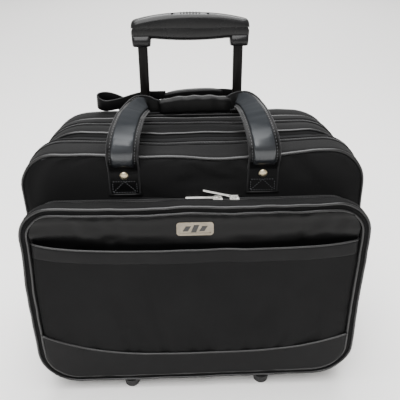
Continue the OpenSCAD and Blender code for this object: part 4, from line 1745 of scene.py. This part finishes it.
@dataclass(frozen=True)
class Badge:
    """The plain motif on the name plate: three slanted bars of unequal length."""

    depth: float = -97.4
    middle: float = 259.2
    bars: tuple[tuple[float, float], ...] = ((-10.0, 3.4), (0.0, 5.0), (10.0, 3.4))

    def build(self) -> None:
        """Makes the bars in the plate's recess."""
        mesh = Mesh()
        for x, half in self.bars:
            shape = [(x - 5.2, -half), (x + 1.2, -half), (x + 5.2, half), (x - 1.2, half)]
            mesh.bar(np.array([[(a, self.depth + y, self.middle + b) for a, b in shape]
                               for y in (0.4, -0.4)]))
        FLAP.take(mesh.make("name_plate_motif", Finish.INK, flat=True))


@dataclass(frozen=True)
class Studio:
    """The pale floor, the soft light and the camera."""

    eye: tuple[float, float, float] = (-0.01072, -0.66676, 0.60387)
    yaw: float = 1.7
    pitch: float = 28.2
    roll: float = 0.37
    lens: float = 49.52

    def build(self) -> None:
        """Makes the room round the case."""
        self.floor()
        self.lights()
        self.camera()

    def floor(self) -> None:
        """A wide plain floor."""
        data = bpy.data.meshes.new("floor")
        data.from_pydata([(-6, -4, 0), (6, -4, 0), (6, 8, 0), (-6, 8, 0)], [], [(0, 1, 2, 3)])
        recipe = Recipe("floor_white", Specular_IOR_Level=0.2)
        data.materials.append(recipe.surface((0.93, 0.92, 0.905), 0.85))
        made = bpy.data.objects.new("floor", data)
        bpy.context.scene.collection.objects.link(made)

    def lamp(self, name: str, place: Sequence[float], aim: Sequence[float], size: float,
             power: float) -> None:
        """Adds a square soft lamp that looks at a point.

        Args:
            name: its name.
            place: where it stands, in metres.
            aim: the point that it looks at.
            size: its side, in metres.
            power: its power, in watts.
        """
        data = bpy.data.lights.new(name, "AREA")
        data.size, data.energy = size, power
        made = bpy.data.objects.new(name, data)
        made.location = place
        made.rotation_euler = (Vector(aim) - Vector(place)).to_track_quat("-Z", "Y").to_euler()
        bpy.context.scene.collection.objects.link(made)

    def lights(self) -> None:
        """A large lamp overhead, a fill from the front and a pale surround."""
        self.lamp("overhead", (-0.1, 0.1, 2.0), (0, 0.05, 0.1), 1.9, 84)
        self.lamp("front_fill", (-0.35, -1.4, 1.7), (0, -0.05, 0.3), 1.2, 34)
        self.lamp("far_floor", (0.2, 3.2, 2.6), (0, 2.4, 0.0), 2.4, 120)
        world = bpy.data.worlds.new("surround")
        bpy.context.scene.world = world
        world.use_nodes = True
        world.node_tree.nodes["Background"].inputs[0].default_value = (1.0, 0.99, 0.975, 1)
        world.node_tree.nodes["Background"].inputs[1].default_value = 0.63

    def camera(self) -> None:
        """The camera, with its slight roll."""
        yaw, pitch, roll = (math.radians(a) for a in (self.yaw, self.pitch, self.roll))
        ahead = Vector((math.sin(yaw) * math.cos(pitch), math.cos(yaw) * math.cos(pitch),
                        -math.sin(pitch)))
        level = ahead.cross(Vector((0, 0, 1))).normalized()
        above = level.cross(ahead)
        right = level * math.cos(roll) - above * math.sin(roll)
        up = right.cross(ahead)
        data = bpy.data.cameras.new("camera")
        data.lens, data.sensor_width = self.lens, 36
        made = bpy.data.objects.new("camera", data)
        made.location = self.eye
        made.rotation_euler = Matrix([[right[k], up[k], -ahead[k]] for k in range(3)]).to_euler()
        bpy.context.scene.collection.objects.link(made)
        bpy.context.scene.camera = made


def main() -> None:
    """Builds the case and the studio round it."""
    logging.basicConfig(level=logging.INFO, format="%(name)s: %(message)s")
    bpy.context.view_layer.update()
    for kind in (RearSection, LaptopSection, MainSection, FrontPocket, FrontHandle, RearHandle,
                 PullGrip, Badge):
        kind().build()
    for dressing in DRESSINGS:
        dressing.apply()
    Studio().build()
    bpy.context.view_layer.update()


if __name__ == "__main__":
    main()
